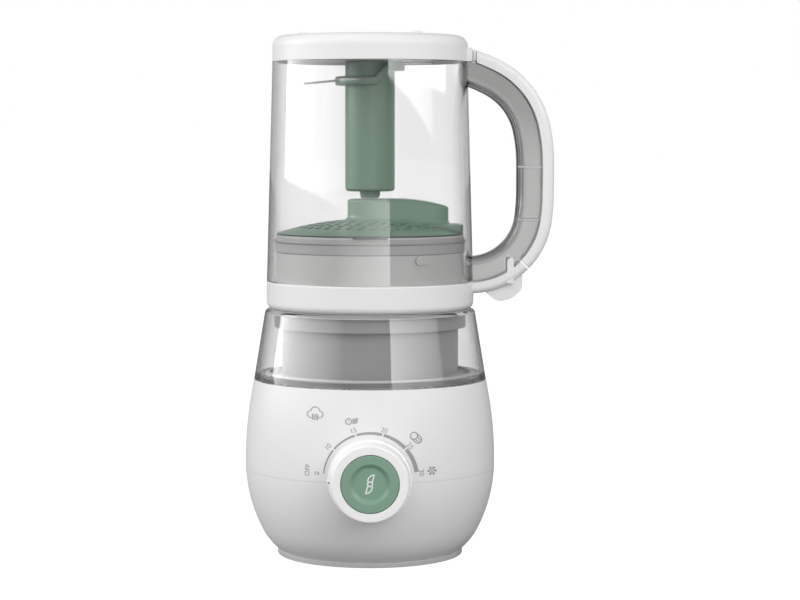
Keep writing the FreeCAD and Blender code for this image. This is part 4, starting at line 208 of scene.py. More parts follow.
def make_soft_box(name, turn, height, size, power, fade, roll=0.0):
    """An upright box in front of the object, turned round its axis by so many degrees to the right."""
    angle = math.radians(turn)
    place = (BOX_DISTANCE * math.sin(angle), -BOX_DISTANCE * math.cos(angle), height)
    lamp = make_lamp(name, place, (math.pi / 2, math.radians(roll), angle), size, power)
    fade_lamp(lamp, *fade)


for box_name, box in SOFT_BOXES.items():
    make_soft_box(box_name, **box)
make_lamp("high_box", HIGH_BOX_PLACE, (HIGH_BOX_TILT, 0, 0), HIGH_BOX_SIZE, HIGH_BOX_POWER)
print("lit by", ", ".join(SOFT_BOXES), "and a high box")

# %% [markdown]
# ## The floor
# The object stands on a sheet of paper so large that its end is never seen. A shadow catcher would show
# nothing but the shadow. Paper also gives light back to the underside of the bowl, and it glows for the
# camera just enough to come near the white of the world.

# %% Lay the floor
FLOOR_SIZE = 40.0
FLOOR_COLOUR = (0.25, 0.25, 0.25, 1)
FLOOR_ROUGHNESS = 0.9
FLOOR_LIFT = 0.96


def make_floor():
    bpy.ops.object.select_all(action="DESELECT")
    bpy.ops.mesh.primitive_plane_add(size=FLOOR_SIZE)
    floor = bpy.context.object
    floor.name = "floor"
    paint = bpy.data.materials.new("floor_paper")
    paint.use_nodes = True
    tree = paint.node_tree
    shader = tree.nodes["Principled BSDF"]
    shader.inputs["Base Color"].default_value = FLOOR_COLOUR
    shader.inputs["Roughness"].default_value = FLOOR_ROUGHNESS
    shader.inputs["Specular IOR Level"].default_value = 0.0
    shader.inputs["Emission Color"].default_value = WHITE_LIGHT
    glow = join_numbers(tree, "MULTIPLY", seen_rays(tree), FLOOR_LIFT)
    tree.links.new(glow, shader.inputs["Emission Strength"])
    floor.data.materials.append(paint)


make_floor()
print("floor", FLOOR_SIZE, "m wide")

# %% [markdown]
# ## Effects that several finishes share
# Moulded plastic is never quite even: its skin has a fine peel from the mould, and its gloss changes a
# little where it cooled or was handled. Turned and drawn metal has fine lines along one direction. Each
# effect is a node group with its own inputs, built once, so a finish only says how strong and how fine it
# is.

# %% Build the shared effects
EFFECT_OUTPUTS = ("Roughness", "Height", "Tone")
SKIN_INPUTS = {"Gloss scale": 40.0, "Peel scale": 900.0, "Roughness": 0.4, "Roughness spread": 0.1,
               "Tone spread": 0.04}
LINE_INPUTS = {"Roughness": 0.3, "Roughness spread": 0.2, "Tone spread": 0.1}
LINE_STRETCH = (2500, 2500, 60)
NOISE_MIDDLE = 0.5


def new_group(name, inputs):
    """An empty node group with named number inputs. Returns the tree and its two ends."""
    tree = bpy.data.node_groups.new(name, "ShaderNodeTree")
    for label, value in inputs.items():
        socket = tree.interface.new_socket(label, in_out="INPUT", socket_type="NodeSocketFloat")
        socket.default_value = value
    for label in EFFECT_OUTPUTS:
        tree.interface.new_socket(label, in_out="OUTPUT", socket_type="NodeSocketFloat")
    return tree, tree.nodes.new("NodeGroupInput"), tree.nodes.new("NodeGroupOutput")


def object_noise(tree, scale, detail, stretch=None):
    """A noise on object coordinates. scale is a socket or a number, stretch squeezes it along X, Y and Z."""
    place = tree.nodes.new("ShaderNodeTexCoord").outputs["Object"]
    if stretch:
        mapping = tree.nodes.new("ShaderNodeMapping")
        mapping.inputs["Scale"].default_value = stretch
        tree.links.new(place, mapping.inputs["Vector"])
        place = mapping.outputs["Vector"]
    noise = tree.nodes.new("ShaderNodeTexNoise")
    noise.inputs["Detail"].default_value = detail
    tree.links.new(place, noise.inputs["Vector"])
    feed(tree, scale, noise.inputs["Scale"])
    return noise.outputs["Fac"]


def spread(tree, value, middle, amount):
    """middle plus or minus half of amount, as value goes from 0 to 1. Each is a socket or a number."""
    centred = join_numbers(tree, "SUBTRACT", value, NOISE_MIDDLE)
    return join_numbers(tree, "ADD", join_numbers(tree, "MULTIPLY", centred, amount), middle)


def end_group(tree, start, end, shade, height):
    """Lets shade move the roughness and the tone up and down, and hands the height on as it is."""
    rough = spread(tree, shade, start.outputs["Roughness"], start.outputs["Roughness spread"])
    tree.links.new(rough, end.inputs["Roughness"])
    tree.links.new(height, end.inputs["Height"])
    tree.links.new(spread(tree, shade, 1.0, start.outputs["Tone spread"]), end.inputs["Tone"])
    return tree


def build_moulded_skin():
    tree, start, end = new_group("moulded_skin", SKIN_INPUTS)
    cloud = object_noise(tree, start.outputs["Gloss scale"], detail=4.0)
    peel = object_noise(tree, start.outputs["Peel scale"], detail=2.0)
    return end_group(tree, start, end, cloud, peel)


def build_drawn_lines():
    tree, start, end = new_group("drawn_lines", LINE_INPUTS)
    lines = object_noise(tree, 1.0, detail=2.0, stretch=LINE_STRETCH)
    return end_group(tree, start, end, lines, lines)


MOULDED_SKIN = build_moulded_skin()
DRAWN_LINES = build_drawn_lines()
print("effects:", MOULDED_SKIN.name, DRAWN_LINES.name)

# %% [markdown]
# ## Plastics and rubbers
# Nearly all that one sees is moulded: white satin shells, a glossier knob, sage green working parts and
# light grey inserts. Their colours are plain, so no picture is needed, and each finish is one Principled
# shader. Its group gives the roughness, a slight change of tone and the height for a bump. Most finishes
# belong to a slot of the imported model. A few pieces that sit inside or under others have darker copies
# of their own, and the base's white is darker too: both are painted shade for the shade they sit in.

# %% Make the plastics and rubbers
FINE_PEEL = 0.01 * MM
PLAIN_PEEL = 0.02 * MM
COARSE_PEEL = 0.04 * MM
RUBBER_PEEL = 0.06 * MM
SATIN = {"Specular IOR Level": 0.3}
WHITE = (0.84, 0.84, 0.835)


def toned(tree, colour, tone):
    """The colour made a little lighter or darker by the group's tone."""
    scale = tree.nodes.new("ShaderNodeVectorMath")
    scale.operation = "SCALE"
    scale.inputs[0].default_value = colour
    tree.links.new(tone, scale.inputs["Scale"])
    return scale.outputs[0]


def finish(name, group, colour, bump, settings=None, **effect):
    """A material with the group's effect on one Principled shader. bump is the height of its skin."""
    material = bpy.data.materials.new(name)
    material.use_nodes = True
    tree = material.node_tree
    shader = tree.nodes["Principled BSDF"]
    skin = tree.nodes.new("ShaderNodeGroup")
    skin.node_tree = group
    for label, value in effect.items():
        skin.inputs[label.replace("_", " ").capitalize()].default_value = value
    tree.links.new(toned(tree, colour, skin.outputs["Tone"]), shader.inputs["Base Color"])
    tree.links.new(skin.outputs["Roughness"], shader.inputs["Roughness"])
    relief = tree.nodes.new("ShaderNodeBump")
    relief.inputs["Distance"].default_value = bump
    tree.links.new(skin.outputs["Height"], relief.inputs["Height"])
    tree.links.new(relief.outputs["Normal"], shader.inputs["Normal"])
    for socket, value in (settings or {}).items():
        shader.inputs[socket].default_value = value
    return material


def plastic(name, colour, roughness, peel=PLAIN_PEEL, settings=None):
    return finish(name, MOULDED_SKIN, colour, peel, settings, roughness=roughness)


def white_satin(name):
    return plastic(name, WHITE, roughness=0.34, settings=SATIN)


finishes = {
    "white_plastic": white_satin("white_satin"),
    # The base's white is much darker than the shells': painted shade, as the base sits in shade near the
    # table.
    "white_base": plastic("matt_white_painted_shade", (0.5, 0.5, 0.494), roughness=0.55, peel=COARSE_PEEL),
    "knob_white": plastic("knob_satin", (0.95, 0.95, 0.945), roughness=0.3, peel=FINE_PEEL),
    "white_pin": plastic("pin_white", (0.78, 0.78, 0.77), roughness=0.5),
    "green_plastic": plastic("sage_green", (0.215, 0.365, 0.265), roughness=0.33, peel=FINE_PEEL),
    "grey_insert": plastic("light_grey", (0.44, 0.44, 0.435), roughness=0.4),
    "black_plastic": plastic("matt_black", (0.02, 0.02, 0.021), roughness=0.55, peel=COARSE_PEEL),
    "board_green": plastic("board_lacquer", (0.03, 0.12, 0.05), roughness=0.3),
    "silicone": plastic("silicone", (0.62, 0.62, 0.61), roughness=0.5),
    "dark_rubber": plastic("dark_rubber", (0.02, 0.02, 0.02), roughness=0.8, peel=RUBBER_PEEL),
}
own_finishes = {
    # Darker copies of the grey, silicone, white and green finishes: painted shade for pieces that sit in the
    # tank, in the jar and under the lid.
    "tank_core": plastic("core_grey_painted_shade", (0.3, 0.3, 0.297), roughness=0.4),
    "lid_cup": plastic("cup_grey_painted_shade", (0.4, 0.4, 0.396), roughness=0.4),
    "lid_seal": plastic("seal_grey_painted_shade", (0.3, 0.3, 0.297), roughness=0.5),
    "jar_end": plastic("end_plate_painted_shade", (0.36, 0.36, 0.355), roughness=0.4),
    "blade_hub": plastic("column_sage_painted_shade", (0.11, 0.195, 0.135), roughness=0.33, peel=FINE_PEEL),
}
print("plastics and rubbers:", len(finishes) + len(own_finishes))

# %% [markdown]
# ## A hair line and painted shade in the holes
# The bowl is moulded in two shells, which meet in a hair line. They meet flush in the model, so a groove
# could only be cut into the solids. The line is drawn in the shells' finish instead, at the height where
# they meet. The strainer's holes are open in its solid, but this even light fills them more than it
# should, so an Ambient Occlusion node paints shade on what lies deep in a hole. The strainer's green is a
# darker copy of the sage green: painted shade for its place inside the jar.

# %% Darken the parting line and paint shade in the holes
PARTING_HALF = 0.5 * MM
PARTING_SHADE = 0.86
HOLE_REACH = 4 * MM
HOLE_SHADE = 0.08
# Openness below which a place counts as deep in a hole, and above which it counts as outside.
HOLE_DEEP = 0.45
HOLE_OUTSIDE = 0.85


def map_share(tree, value, start, full, at_start, at_full):
    """Turns a value between start and full into a share between at_start and at_full."""
    ramp = tree.nodes.new("ShaderNodeMapRange")
    numbers = {"From Min": start, "From Max": full, "To Min": at_start, "To Max": at_full}
    for socket, number in numbers.items():
        ramp.inputs[socket].default_value = number
    tree.links.new(value, ramp.inputs["Value"])
    return ramp.outputs["Result"]


def scale_colour(material, share):
    """Keeps a share of the colour that the material has so far."""
    tree = material.node_tree
    shader = tree.nodes["Principled BSDF"]
    plain = shader.inputs["Base Color"].links[0].from_socket
    scale = tree.nodes.new("ShaderNodeVectorMath")
    scale.operation = "SCALE"
    tree.links.new(plain, scale.inputs[0])
    tree.links.new(share, scale.inputs["Scale"])
    tree.links.new(scale.outputs[0], shader.inputs["Base Color"])


def parting_line(material, height):
    """Draws the hair line where two shells meet, at one height of the object."""
    tree = material.node_tree
    place = tree.nodes.new("ShaderNodeSeparateXYZ")
    tree.links.new(tree.nodes.new("ShaderNodeTexCoord").outputs["Object"], place.inputs[0])
    above = join_numbers(tree, "SUBTRACT", place.outputs["Z"], height)
    away = join_numbers(tree, "ABSOLUTE", above, 0.0)
    scale_colour(material, map_share(tree, away, 0.0, PARTING_HALF, PARTING_SHADE, 1.0))
    return material


def hollows_painted_shade(material, reach, left):
    """Paints shade into the insides of holes narrower than reach: left is the share of colour kept there."""
    tree = material.node_tree
    opening = tree.nodes.new("ShaderNodeAmbientOcclusion")
    opening.inputs["Distance"].default_value = reach
    scale_colour(material, map_share(tree, opening.outputs["AO"], HOLE_DEEP, HOLE_OUTSIDE, left, 1.0))
    return material


seam_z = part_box("lower_housing")[1].z
shell_satin = parting_line(white_satin("shell_satin"), seam_z)
# A darker copy of the sage green: painted shade for the strainer inside the jar.
sage_painted_shade = plastic("sage_painted_shade", (0.09, 0.18, 0.12), roughness=0.33, peel=FINE_PEEL)
own_finishes["lower_housing"] = shell_satin
own_finishes["upper_housing"] = shell_satin
own_finishes["strainer"] = hollows_painted_shade(sage_painted_shade, HOLE_REACH, HOLE_SHADE)
print("parting line", round(seam_z / MM, 1), "mm above the table")

# %% [markdown]
# ## Clear walls
# Jar, handle and tank are clear or smoky plastic. One tint all over would look like film: a real wall
# looks darker where one looks along it, and where it is thick. So the colour falls off towards the rim,
# partly for the longer way through the tint and partly as painted shade for the dark studio that a real
# rim reflects, and a volume takes more of the light the longer its way through the wall. Lamps shine
# straight through for shadow rays, as they do through thin clear plastic, or what is inside would sit in
# the dark.

# %% Make the clear walls
GLASS = {"Transmission Weight": 1.0, "IOR": 1.5}
CLEAR_PEEL = 0.002 * MM
CLEAR_SPREAD = 0.01
EDGE_BLEND = 0.5
# How far a face has turned away where its painted rim shade starts, and where it is at its darkest.
EDGE_START = 0.6
EDGE_FULL = 0.8


def rim_painted_shade(material, left):
    """Darkens the colour towards the rim, where one looks along it, partly for the longer way through the
    tint and partly as painted shade for dark reflections: left is the share of light kept there.
    """
    tree = material.node_tree
    facing = tree.nodes.new("ShaderNodeLayerWeight")
    facing.inputs["Blend"].default_value = EDGE_BLEND
    scale_colour(material, map_share(tree, facing.outputs["Facing"], EDGE_START, EDGE_FULL, 1.0, left))


def absorb(material, colour, density):
    """Takes light away inside the wall, the more the longer its way there."""
    tree = material.node_tree
    depth = tree.nodes.new("ShaderNodeVolumeAbsorption")
    depth.inputs["Color"].default_value = (*colour, 1)
    depth.inputs["Density"].default_value = density
    tree.links.new(depth.outputs[0], tree.nodes["Material Output"].inputs["Volume"])


def let_lamps_through(material, tint):
    """Makes the wall plainly see-through for shadow rays."""
    tree = material.node_tree
    clear = tree.nodes.new("ShaderNodeBsdfTransparent")
    clear.inputs["Color"].default_value = (*tint, 1)
    mix = tree.nodes.new("ShaderNodeMixShader")
    tree.links.new(tree.nodes.new("ShaderNodeLightPath").outputs["Is Shadow Ray"], mix.inputs[0])
    tree.links.new(tree.nodes["Principled BSDF"].outputs[0], mix.inputs[1])
    tree.links.new(clear.outputs[0], mix.inputs[2])
    tree.links.new(mix.outputs[0], tree.nodes["Material Output"].inputs["Surface"])


def clear_wall(name, tint, depth_colour, density, edge, roughness=0.02):
    material = finish(name, MOULDED_SKIN, tint, CLEAR_PEEL, GLASS,
                      roughness=roughness, roughness_spread=CLEAR_SPREAD, tone_spread=CLEAR_SPREAD)
    rim_painted_shade(material, edge)
    absorb(material, depth_colour, density)
    let_lamps_through(material, tint)
    return material


finishes["jar_clear"] = clear_wall("clear_jar", (0.952, 0.952, 0.95), (0.3, 0.32, 0.33),
                                   density=8.0, edge=0.7)
finishes["smoke_clear"] = clear_wall("smoky_tank", (0.88, 0.88, 0.88), (0.2, 0.2, 0.2),
                                     density=10.0, edge=0.6)
own_finishes["handle_frame"] = clear_wall("clear_handle", (0.58, 0.58, 0.575), (0.3, 0.3, 0.3),
                                          density=20.0, edge=0.7, roughness=0.1)
print("clear walls: jar, tank and handle")

# %% [markdown]
# ## Metals
# The blade and the spindle are steel, and the drive inside has cast, stacked, wound and turned metal. All
# but the castings show fine lines from their making, which the group draws along the height of the
# object. A casting has a coarse skin like a moulding's, so it takes the other group.

# %% Make the metals
METAL = {"Metallic": 1.0}
POLISHED = 0.005 * MM
TURNED = 0.01 * MM
LAYERED = 0.05 * MM
CAST_PEEL = 0.08 * MM
CAST_SCALE = 600.0


def metal(name, colour, roughness, lines):
    return finish(name, DRAWN_LINES, colour, lines, METAL, roughness=roughness)


finishes["steel"] = metal("drawn_steel", (0.6, 0.6, 0.61), roughness=0.25, lines=POLISHED)
finishes["lamination"] = metal("sheet_stack", (0.2, 0.2, 0.21), roughness=0.5, lines=LAYERED)
finishes["copper"] = metal("copper_wire", (0.65, 0.3, 0.15), roughness=0.35, lines=LAYERED)
finishes["brass"] = metal("turned_brass", (0.7, 0.5, 0.2), roughness=0.3, lines=TURNED)
finishes["cast_alloy"] = finish("cast_alloy", MOULDED_SKIN, (0.55, 0.55, 0.56), CAST_PEEL, METAL,
                                roughness=0.5, peel_scale=CAST_SCALE)
# The blade's steel is much darker than the spindle's: painted shade for the dark studio that a real blade
# reflects.
own_finishes["blade_steel"] = metal("blade_steel", (0.16, 0.16, 0.165), roughness=0.2, lines=POLISHED)
print("slots with a finish:", len(finishes))

# %% [markdown]
# ## Every solid gets its finish
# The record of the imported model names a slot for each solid. A solid with a finish of its own takes that
# one, and all others take their slot's, so none is forgotten.

# %% Put the finishes on
for subpart in frame["record"]["subparts"]:
    mesh = frame["nodes"][subpart["node"]].data
    mesh.materials.clear()
    mesh.materials.append(own_finishes.get(subpart["node"], finishes[subpart["material_slot"]]))

# %% [markdown]
# ## Ink on the bowl
# The dial's scale, its numbers and the signs round it are pad-printed: a soft pad presses flat ink onto
# the round housing. The same can be done here. Each mark is drawn flat in front of the dial, in
# millimetres from the dial's axis. A texture could do this too, but real marks stay sharp and go with the
# mesh.

# %% Draw on a flat sheet
PRINT_Y = -110 * MM
PRINT_STRETCH = 1.03
knob_low, knob_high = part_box("control_knob")
DIAL_Z = (knob_low.z + knob_high.z) / 2


def on_sheet(x, z):
    """A point of the flat drawing, in metres, from millimetres right of and above the dial's axis.

    The pad wraps round the bowl, which makes the drawing a little wider than high."""
    return Vector((x * PRINT_STRETCH * MM, PRINT_Y, DIAL_Z + z * MM))


def polar(radius, degrees):
    return radius * math.cos(math.radians(degrees)), radius * math.sin(math.radians(degrees))


def moved(point, centre):
    return point[0] + centre[0], point[1] + centre[1]


def strip(steps, place):
    """A band of squares. place(u, side) gives its points: u runs from 0 to 1, side is -1 or 1."""
    bpy.ops.object.select_all(action="DESELECT")
    bpy.ops.mesh.primitive_grid_add(x_subdivisions=steps, y_subdivisions=1, size=1)
    band = bpy.context.object
    for vertex in band.data.vertices:
        vertex.co = on_sheet(*place(vertex.co.x + 0.5, math.copysign(1, vertex.co.y)))
    return band


print("dial axis", round(DIAL_Z / MM, 1), "mm above the table")

# %% [markdown]
# A Shrinkwrap modifier presses the flat drawing along +Y onto the housing, as the pad does, and Solidify
# gives it the thickness of a film of ink. The drawing is cut finer first, so that it can follow the round
# face.

# %% Press ink onto a solid
FILM = 0.14 * MM
PRINT_CUTS = 2
INK_PEEL = 0.004 * MM
GREY_INK = plastic("grey_ink", (0.34, 0.355, 0.355), roughness=0.45, peel=INK_PEEL)


def join(name, parts):
    bpy.ops.object.select_all(action="DESELECT")
    for part in parts:
        part.select_set(True)
    bpy.context.view_layer.objects.active = parts[0]
    bpy.ops.object.join()
    parts[0].name = name
    return parts[0]


def turn_to_front(piece):
    """Cuts all faces finer and flips those that look away from the user, so that the ink grows outwards."""
    bpy.ops.object.mode_set(mode="EDIT")
    bpy.ops.mesh.select_all(action="SELECT")
    bpy.ops.mesh.subdivide(number_cuts=PRINT_CUTS)
    bpy.ops.mesh.select_all(action="DESELECT")
    bpy.ops.object.mode_set(mode="OBJECT")
    for face in piece.data.polygons:
        face.select = face.normal.y > 0
    bpy.ops.object.mode_set(mode="EDIT")
    bpy.ops.mesh.flip_normals()
    bpy.ops.object.mode_set(mode="OBJECT")


def press_on(name, parts, carrier, body, ink):
    """Joins flat marks, presses them onto a CAD node and lets them ride with its body."""
    piece = join(name, parts)
    turn_to_front(piece)
    wrap = piece.modifiers.new("pad", "SHRINKWRAP")
    wrap.wrap_method = "PROJECT"
    wrap.use_project_y = True
    wrap.target = frame["nodes"][carrier]
    bpy.ops.object.modifier_apply(modifier=wrap.name)
    film = piece.modifiers.new("film", "SOLIDIFY")
    film.thickness = FILM
    film.offset = 1.0
    bpy.ops.object.modifier_apply(modifier=film.name)
    piece.data.materials.append(ink)
    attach(piece, body)
    print(name, len(piece.data.polygons), "faces on", carrier)


def print_on_bowl(name, parts):
    press_on(name, parts, "upper_housing", "base", GREY_INK)


print("ink film", round(FILM / MM, 2), "mm thick")

# %% [markdown]
# The scale is five bands that grow thicker towards the longer times, with a gap at each number between
# them. Each band is a strip bent round the dial, because a strip can change its width along the way.

# %% Print the scale
TIMES = ("0", "10", "15", "20", "25", "30")
FIRST_ANGLE = 174.5
TIME_STEP = 33.7
LAST_ANGLE = 6.0
SCALE_AT = (-0.35, 0.5)
SCALE_R = 25.5
SCALE_GAP = 0.9
THIN_BAND = 0.6
THICK_BAND = 2.4
BAND_STEPS = 20


def time_angle(i):
    return FIRST_ANGLE - i * TIME_STEP


def scale_band(first, last):
    def place(u, side):
        angle = first + u * (last - first)
        thickness = THIN_BAND + (THICK_BAND - THIN_BAND) * (FIRST_ANGLE - angle) / (FIRST_ANGLE - LAST_ANGLE)
        return moved(polar(SCALE_R + (thickness if side > 0 else 0), angle), SCALE_AT)

    return strip(BAND_STEPS, place)


half_gap = math.degrees(SCALE_GAP / 2 / SCALE_R)
bands = []
for time_place in range(len(TIMES) - 1):
    band_first = time_angle(time_place) - (half_gap if time_place else 0)
    band_last = max(time_angle(time_place + 1) + half_gap, LAST_ANGLE)
    bands.append(scale_band(band_first, band_last))
print_on_bowl("dial_scale", bands)

# %% [markdown]
# The numbers follow the circle of the scale, and OFF stands outside the first of them. Text objects give
# plain letters, and as meshes they can be pressed on like the bands.

# %% Print the numbers
NUMBER_AT = (-0.4, 0.0)
NUMBER_R = 29.7
NUMBER_H = 2.8
OFF_R = 35.6
OFF_ANGLE = 173.0
OFF_H = 2.8
# A word whose middle stands at 90 degrees, straight above the dial, isn't turned.
UPRIGHT = 90


def lettering(words, place, height, turn):
    """Words centred on a point, turned by so many degrees to the left."""
    bpy.ops.object.select_all(action="DESELECT")
    bpy.ops.object.text_add()
    label = bpy.context.object
    label.data.body = words
    bpy.ops.object.convert(target="MESH")
    bpy.ops.object.origin_set(type="ORIGIN_GEOMETRY", center="BOUNDS")
    label.scale = (height * MM / label.dimensions.y,) * 3
    label.rotation_euler = (math.pi / 2, -math.radians(turn), 0)
    label.location = on_sheet(*place)
    bpy.ops.object.transform_apply(location=True, rotation=True, scale=True)
    return label


numbers = []
for time_place, time in enumerate(TIMES):
    number_at = moved(polar(NUMBER_R, time_angle(time_place)), NUMBER_AT)
    numbers.append(lettering(time, number_at, NUMBER_H, time_angle(time_place) - UPRIGHT))
numbers.append(lettering("OFF", polar(OFF_R, OFF_ANGLE), OFF_H, OFF_ANGLE - UPRIGHT))
print_on_bowl("dial_numbers", numbers)

# %% [markdown]
# Four signs say what the times are for: steam, thin slices, chunks, and thawing. They are plain line
# drawings. The steam is a cloud over four jets. The cloud's line is the outer edge of three circles,
# found along rays from its middle, so its lobes meet in clean corners.

# %% Print the cloud of steam
STROKE = 0.55
STEAM_AT = (-30.9, 37.0)
CLOUD_LOBES = ((-2.4, -0.3, 2.0), (0.1, 1.5, 2.5), (2.4, -0.1, 1.95))
CLOUD_ENDS = (238, -58)
CLOUD_STEPS = 60
JETS = (-1.6, -0.55, 0.5, 1.55)
JET_TOPS = (0.2, -0.2)
JET_FOOT = -3.5
JET_STROKE = 0.9 * STROKE


def bar(start, end, width, steps=3):
    """A straight stroke from one point to another."""
    length = math.dist(start, end)
    along = ((end[0] - start[0]) / length, (end[1] - start[1]) / length)

    def place(u, side):
        shift = side * width / 2
        return (start[0] + along[0] * u * length - along[1] * shift,
                start[1] + along[1] * u * length + along[0] * shift)

    return strip(steps, place)


def cloud_reach(angle):
    """How far the cloud goes from its middle along a ray."""
    ray = Vector(polar(1, angle))
    reach = 0
    for x, z, radius in CLOUD_LOBES:
        middle = Vector((x, z))
        half = ray.dot(middle)
        inside = half ** 2 - middle.length_squared + radius ** 2
        if inside > 0:
            reach = max(reach, half + math.sqrt(inside))
    return reach


def cloud_line():
    def place(u, side):
        angle = CLOUD_ENDS[0] + u * (CLOUD_ENDS[1] - CLOUD_ENDS[0])
        return moved(polar(cloud_reach(angle) + side * STROKE / 2, angle), STEAM_AT)

    return strip(CLOUD_STEPS, place)


def jet(i, x):
    """One of the jets, which start by turns a little higher and a little lower."""
    return bar(moved((x, JET_TOPS[i % 2]), STEAM_AT), moved((x, JET_FOOT), STEAM_AT), JET_STROKE)


jets = [jet(i, x) for i, x in enumerate(JETS)]
print_on_bowl("steam_sign", [cloud_line()] + jets)

# %% [markdown]
# The next two signs show food: the round end of a vegetable with thin slices behind it, and a short thick
# piece that lies slanting, with two ribs along it. Both are circles, parts of circles and straight
# strokes.

# %% Print the slices and the chunk
ROUND_STEPS = 24
SLICE_AT = (-10.1, 33.6)
SLICE_END = (-1.9, -0.2)
SLICE_R = 1.65
SLICE_CORE = 0.7
SLICES = 4
SLICE_FROM = (0.2, 1.1)
SLICE_TO = (3.6, 1.6)
SLICE_DROP = 0.8
SLICE_SHRINK = 0.2
CHUNK_AT = (26.1, 23.4)
CHUNK_END = (-1.4, 1.4)
CHUNK_FAR = (2.4, -2.4)
CHUNK_R = 2.0
CHUNK_SIDES = (45, -135)
RIB_FROM = (1.5, -1.5)
RIB_TO = (1.2, -1.2)
RIB_SHIFT = 0.75


def arc(centre, radius, first, last, width, steps=16):
    """A round stroke from one angle to another, in degrees."""
    def place(u, side):
        return moved(polar(radius + side * width / 2, first + u * (last - first)), centre)

    return strip(steps, place)


def circle(centre, radius):
    return arc(centre, radius, 180, -180, STROKE, ROUND_STEPS)


def slice_rim(i):
    drop = SLICE_DROP * i
    start = (SLICE_FROM[0], SLICE_FROM[1] - drop)
    end = (SLICE_TO[0] - SLICE_SHRINK * i, SLICE_TO[1] - drop)
    return bar(moved(start, SLICE_AT), moved(end, SLICE_AT), STROKE)


def slice_sign():
    end = moved(SLICE_END, SLICE_AT)
    rims = [slice_rim(i) for i in range(SLICES)]
    return [circle(end, SLICE_R), bar(end, moved((0, SLICE_CORE), end), STROKE)] + rims


def chunk_sign():
    end = moved(CHUNK_END, CHUNK_AT)
    far = moved(CHUNK_FAR, end)
    sides = [bar(moved(polar(CHUNK_R, turn), end), moved(polar(CHUNK_R, turn), far), STROKE)
             for turn in CHUNK_SIDES]
    ribs = []
    for shift in (-RIB_SHIFT, RIB_SHIFT):
        aside = polar(shift, CHUNK_SIDES[0])
        ribs.append(bar(moved(aside, moved(RIB_FROM, end)), moved(aside, moved(RIB_TO, far)), STROKE))
    return [circle(end, CHUNK_R), arc(far, CHUNK_R, *CHUNK_SIDES, STROKE)] + sides + ribs


print_on_bowl("slice_sign", slice_sign())
print_on_bowl("chunk_sign", chunk_sign())

# %% [markdown]
# The last sign is a frost star for thawing: six arms round an open middle, each with a fork of two short
# strokes. A loop draws one arm after the other.

# %% Print the frost star
FROST_AT = (35.0, 3.9)
FROST_ARMS = 6
ARM_FROM = 0.5
ARM_TO = 2.7
FORK_AT = 1.6
FORK_LENGTH = 0.9
FORK_TURNS = (50, -50)


def frost_sign():
    strokes = []
    for turn in range(0, 360, 360 // FROST_ARMS):
        start = moved(polar(ARM_FROM, turn), FROST_AT)
        fork = moved(polar(FORK_AT, turn), FROST_AT)
        end = moved(polar(ARM_TO, turn), FROST_AT)
        strokes.append(bar(start, end, STROKE))
        strokes += [bar(fork, moved(polar(FORK_LENGTH, turn + side), fork), STROKE) for side in FORK_TURNS]
    return strokes


print_on_bowl("frost_sign", frost_sign())

# %% [markdown]
# ## The knob's pointer
# A small grey wedge on the knob's rim points at the scale and turns with the knob. It could be moulded,
# but it has no height to speak of, so it is pressed on like the ink, with the knob as its carrier.

# %% Mark the knob
POINTER_ANGLE = 181.5
POINTER_R = (22.1, 23.3)
POINTER_W = 1.1
POINTER_STEPS = 6


def pointer_wedge():
    def place(u, side):
        radius = POINTER_R[0] + u * (POINTER_R[1] - POINTER_R[0])
        half = math.degrees(POINTER_W / 2 / radius) * u
        return polar(radius, POINTER_ANGLE + side * half)

    return strip(POINTER_STEPS, place)


press_on("knob_pointer", [pointer_wedge()], "control_knob", "knob", GREY_INK)

# %% [markdown]
# ## The button's sign
# The button carries a blade in white outline, since it is the one that runs the blade. A wing is a closed
# line of even width, which insetting a face gives in one step. Strokes would leave gaps or lumps at the
# corners. Parts of a ring close the hub between the two wings.

# %% Mark the button
WHITE_INK = plastic("white_ink", (0.88, 0.88, 0.87), roughness=0.4, peel=INK_PEEL)
BLADE_WING = ((1.75, 1.46), (2.8, 5.8), (0.73, 5.4), (-0.96, 3.95), (-1.75, 1.9))
BLADE_STROKE = 0.7
HUB_R = (1.0, 1.75)
HUB_OPEN = 40
HUB_STEP = 20
RING_STEPS = 8


def outline(points, width):
    """A closed line of even width just inside the points: a face is inset, and what is left in it goes."""
    bpy.ops.object.select_all(action="DESELECT")
    bpy.ops.mesh.primitive_circle_add(vertices=len(points), fill_type="NGON")
    ring = bpy.context.object
    for vertex, point in zip(ring.data.vertices, points):
        vertex.co = on_sheet(*point)
    bpy.ops.object.mode_set(mode="EDIT")
    bpy.ops.mesh.select_all(action="SELECT")
    bpy.ops.mesh.inset(thickness=width * MM)
    bpy.ops.mesh.delete(type="ONLY_FACE")
    bpy.ops.object.mode_set(mode="OBJECT")
    return ring


def blade_sign():
    """Two wings in outline, each closed by a part of the hub, and the parts of its ring between them."""
    hub = [polar(HUB_R[0], angle) for angle in range(180 - HUB_OPEN, HUB_OPEN - 1, -HUB_STEP)]
    wing = list(BLADE_WING) + hub
    strokes = [outline([(side * x, side * z) for x, z in wing], BLADE_STROKE) for side in (1, -1)]
    middle = sum(HUB_R) / 2
    width = HUB_R[1] - HUB_R[0]
    for turn in (0, 180):
        strokes.append(arc((0, 0), middle, turn + HUB_OPEN, turn - HUB_OPEN, width, RING_STEPS))
    return strokes


press_on("blend_sign", blade_sign(), "blend_button", "button", WHITE_INK)

# %% [markdown]
# ## The two springs
# One spring pushes the button back, one lifts the pin that feels the jar. Both are one length of steel
# wire. A circle as thick as the wire is carried round the axis by a Screw modifier, which is how a spring
# is wound, and its open ends are filled. A bevelled curve would do too, but all its points would have to
# be worked out first.

# %% Wind a spring
WIRE_R = 0.45 * MM
WIRE_SIDES = 10
TURN_STEPS = 24
SMOOTH_ANGLE = math.radians(50)


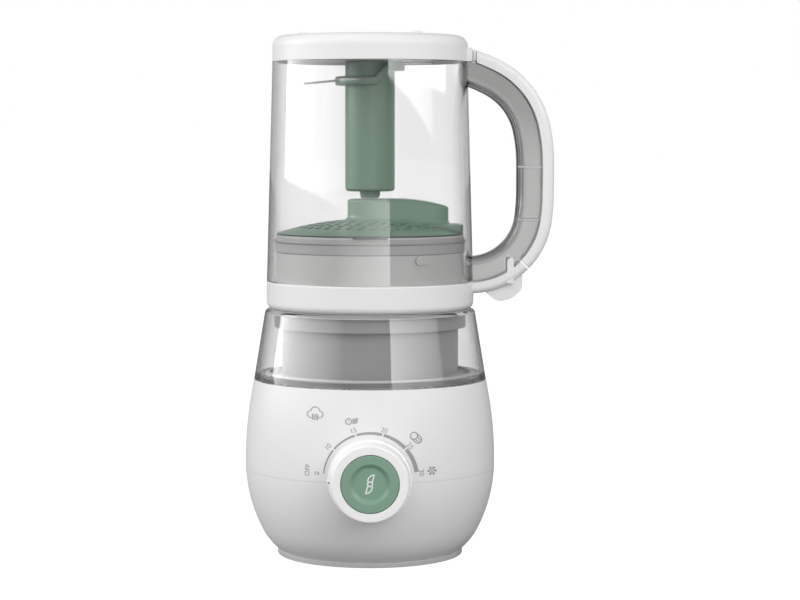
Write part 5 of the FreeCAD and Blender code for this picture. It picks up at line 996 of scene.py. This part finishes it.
def wind(coil_r, length, turns):
    """A spring about Z that starts at the origin's height."""
    bpy.ops.object.select_all(action="DESELECT")
    bpy.ops.mesh.primitive_circle_add(vertices=WIRE_SIDES, radius=WIRE_R, rotation=(math.pi / 2, 0, 0),
                                      location=(coil_r, 0, WIRE_R))
    spring = bpy.context.object
    bpy.ops.object.transform_apply(location=True, rotation=True, scale=True)
    screw = spring.modifiers.new("wind", "SCREW")
    screw.screw_offset = (length - 2 * WIRE_R) / turns
    screw.iterations = turns
    screw.steps = TURN_STEPS
    screw.render_steps = TURN_STEPS
    bpy.ops.object.modifier_apply(modifier=screw.name)
    bpy.ops.object.mode_set(mode="EDIT")
    bpy.ops.mesh.select_all(action="SELECT")
    bpy.ops.mesh.fill_holes(sides=WIRE_SIDES)
    bpy.ops.mesh.select_all(action="SELECT")
    bpy.ops.mesh.normals_make_consistent(inside=False)
    bpy.ops.object.mode_set(mode="OBJECT")
    bpy.ops.object.shade_smooth_by_angle(angle=SMOOTH_ANGLE)
    return spring


print("wire", round(2 * WIRE_R / MM, 2), "mm thick")

# %% [markdown]
# Each spring takes the place and the size of the coil in the imported model and replaces it. It stands on
# the base.

# %% Put the springs in
AXIS_Y = 1
AXIS_Z = 2
SPRINGS = {
    "button_spring": {"joint": "button_press", "turns": 9, "axis": AXIS_Y, "fixed_high": True},
    "interlock_spring": {"joint": "interlock_press", "turns": 4, "axis": AXIS_Z, "fixed_high": False},
}


def place_spring(node, joint, turns, axis, fixed_high):
    low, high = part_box(node)
    size = high - low
    length = size[axis]
    middle = (low + high) / 2
    spring = wind(size[0] / 2 - WIRE_R, length, turns)
    start = Vector(middle)
    start[axis] = low[axis]
    spring.location = start
    if axis == AXIS_Y:
        spring.rotation_euler = (-math.pi / 2, 0, 0)
    bpy.ops.object.transform_apply(location=True, rotation=True, scale=True)
    spring.name = node + "_wire"
    spring.data.materials.append(finishes["steel"])
    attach(spring, "base")
    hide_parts(node)
    anchor = Vector(middle)
    anchor[axis] = high[axis] if fixed_high else low[axis]
    direction = Vector((0, 0, 0))
    direction[axis] = 1
    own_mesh(spring)
    print(spring.name, round(length / MM, 1), "mm long,", turns, "turns")


for spring_node, spring_facts in SPRINGS.items():
    place_spring(spring_node, **spring_facts)
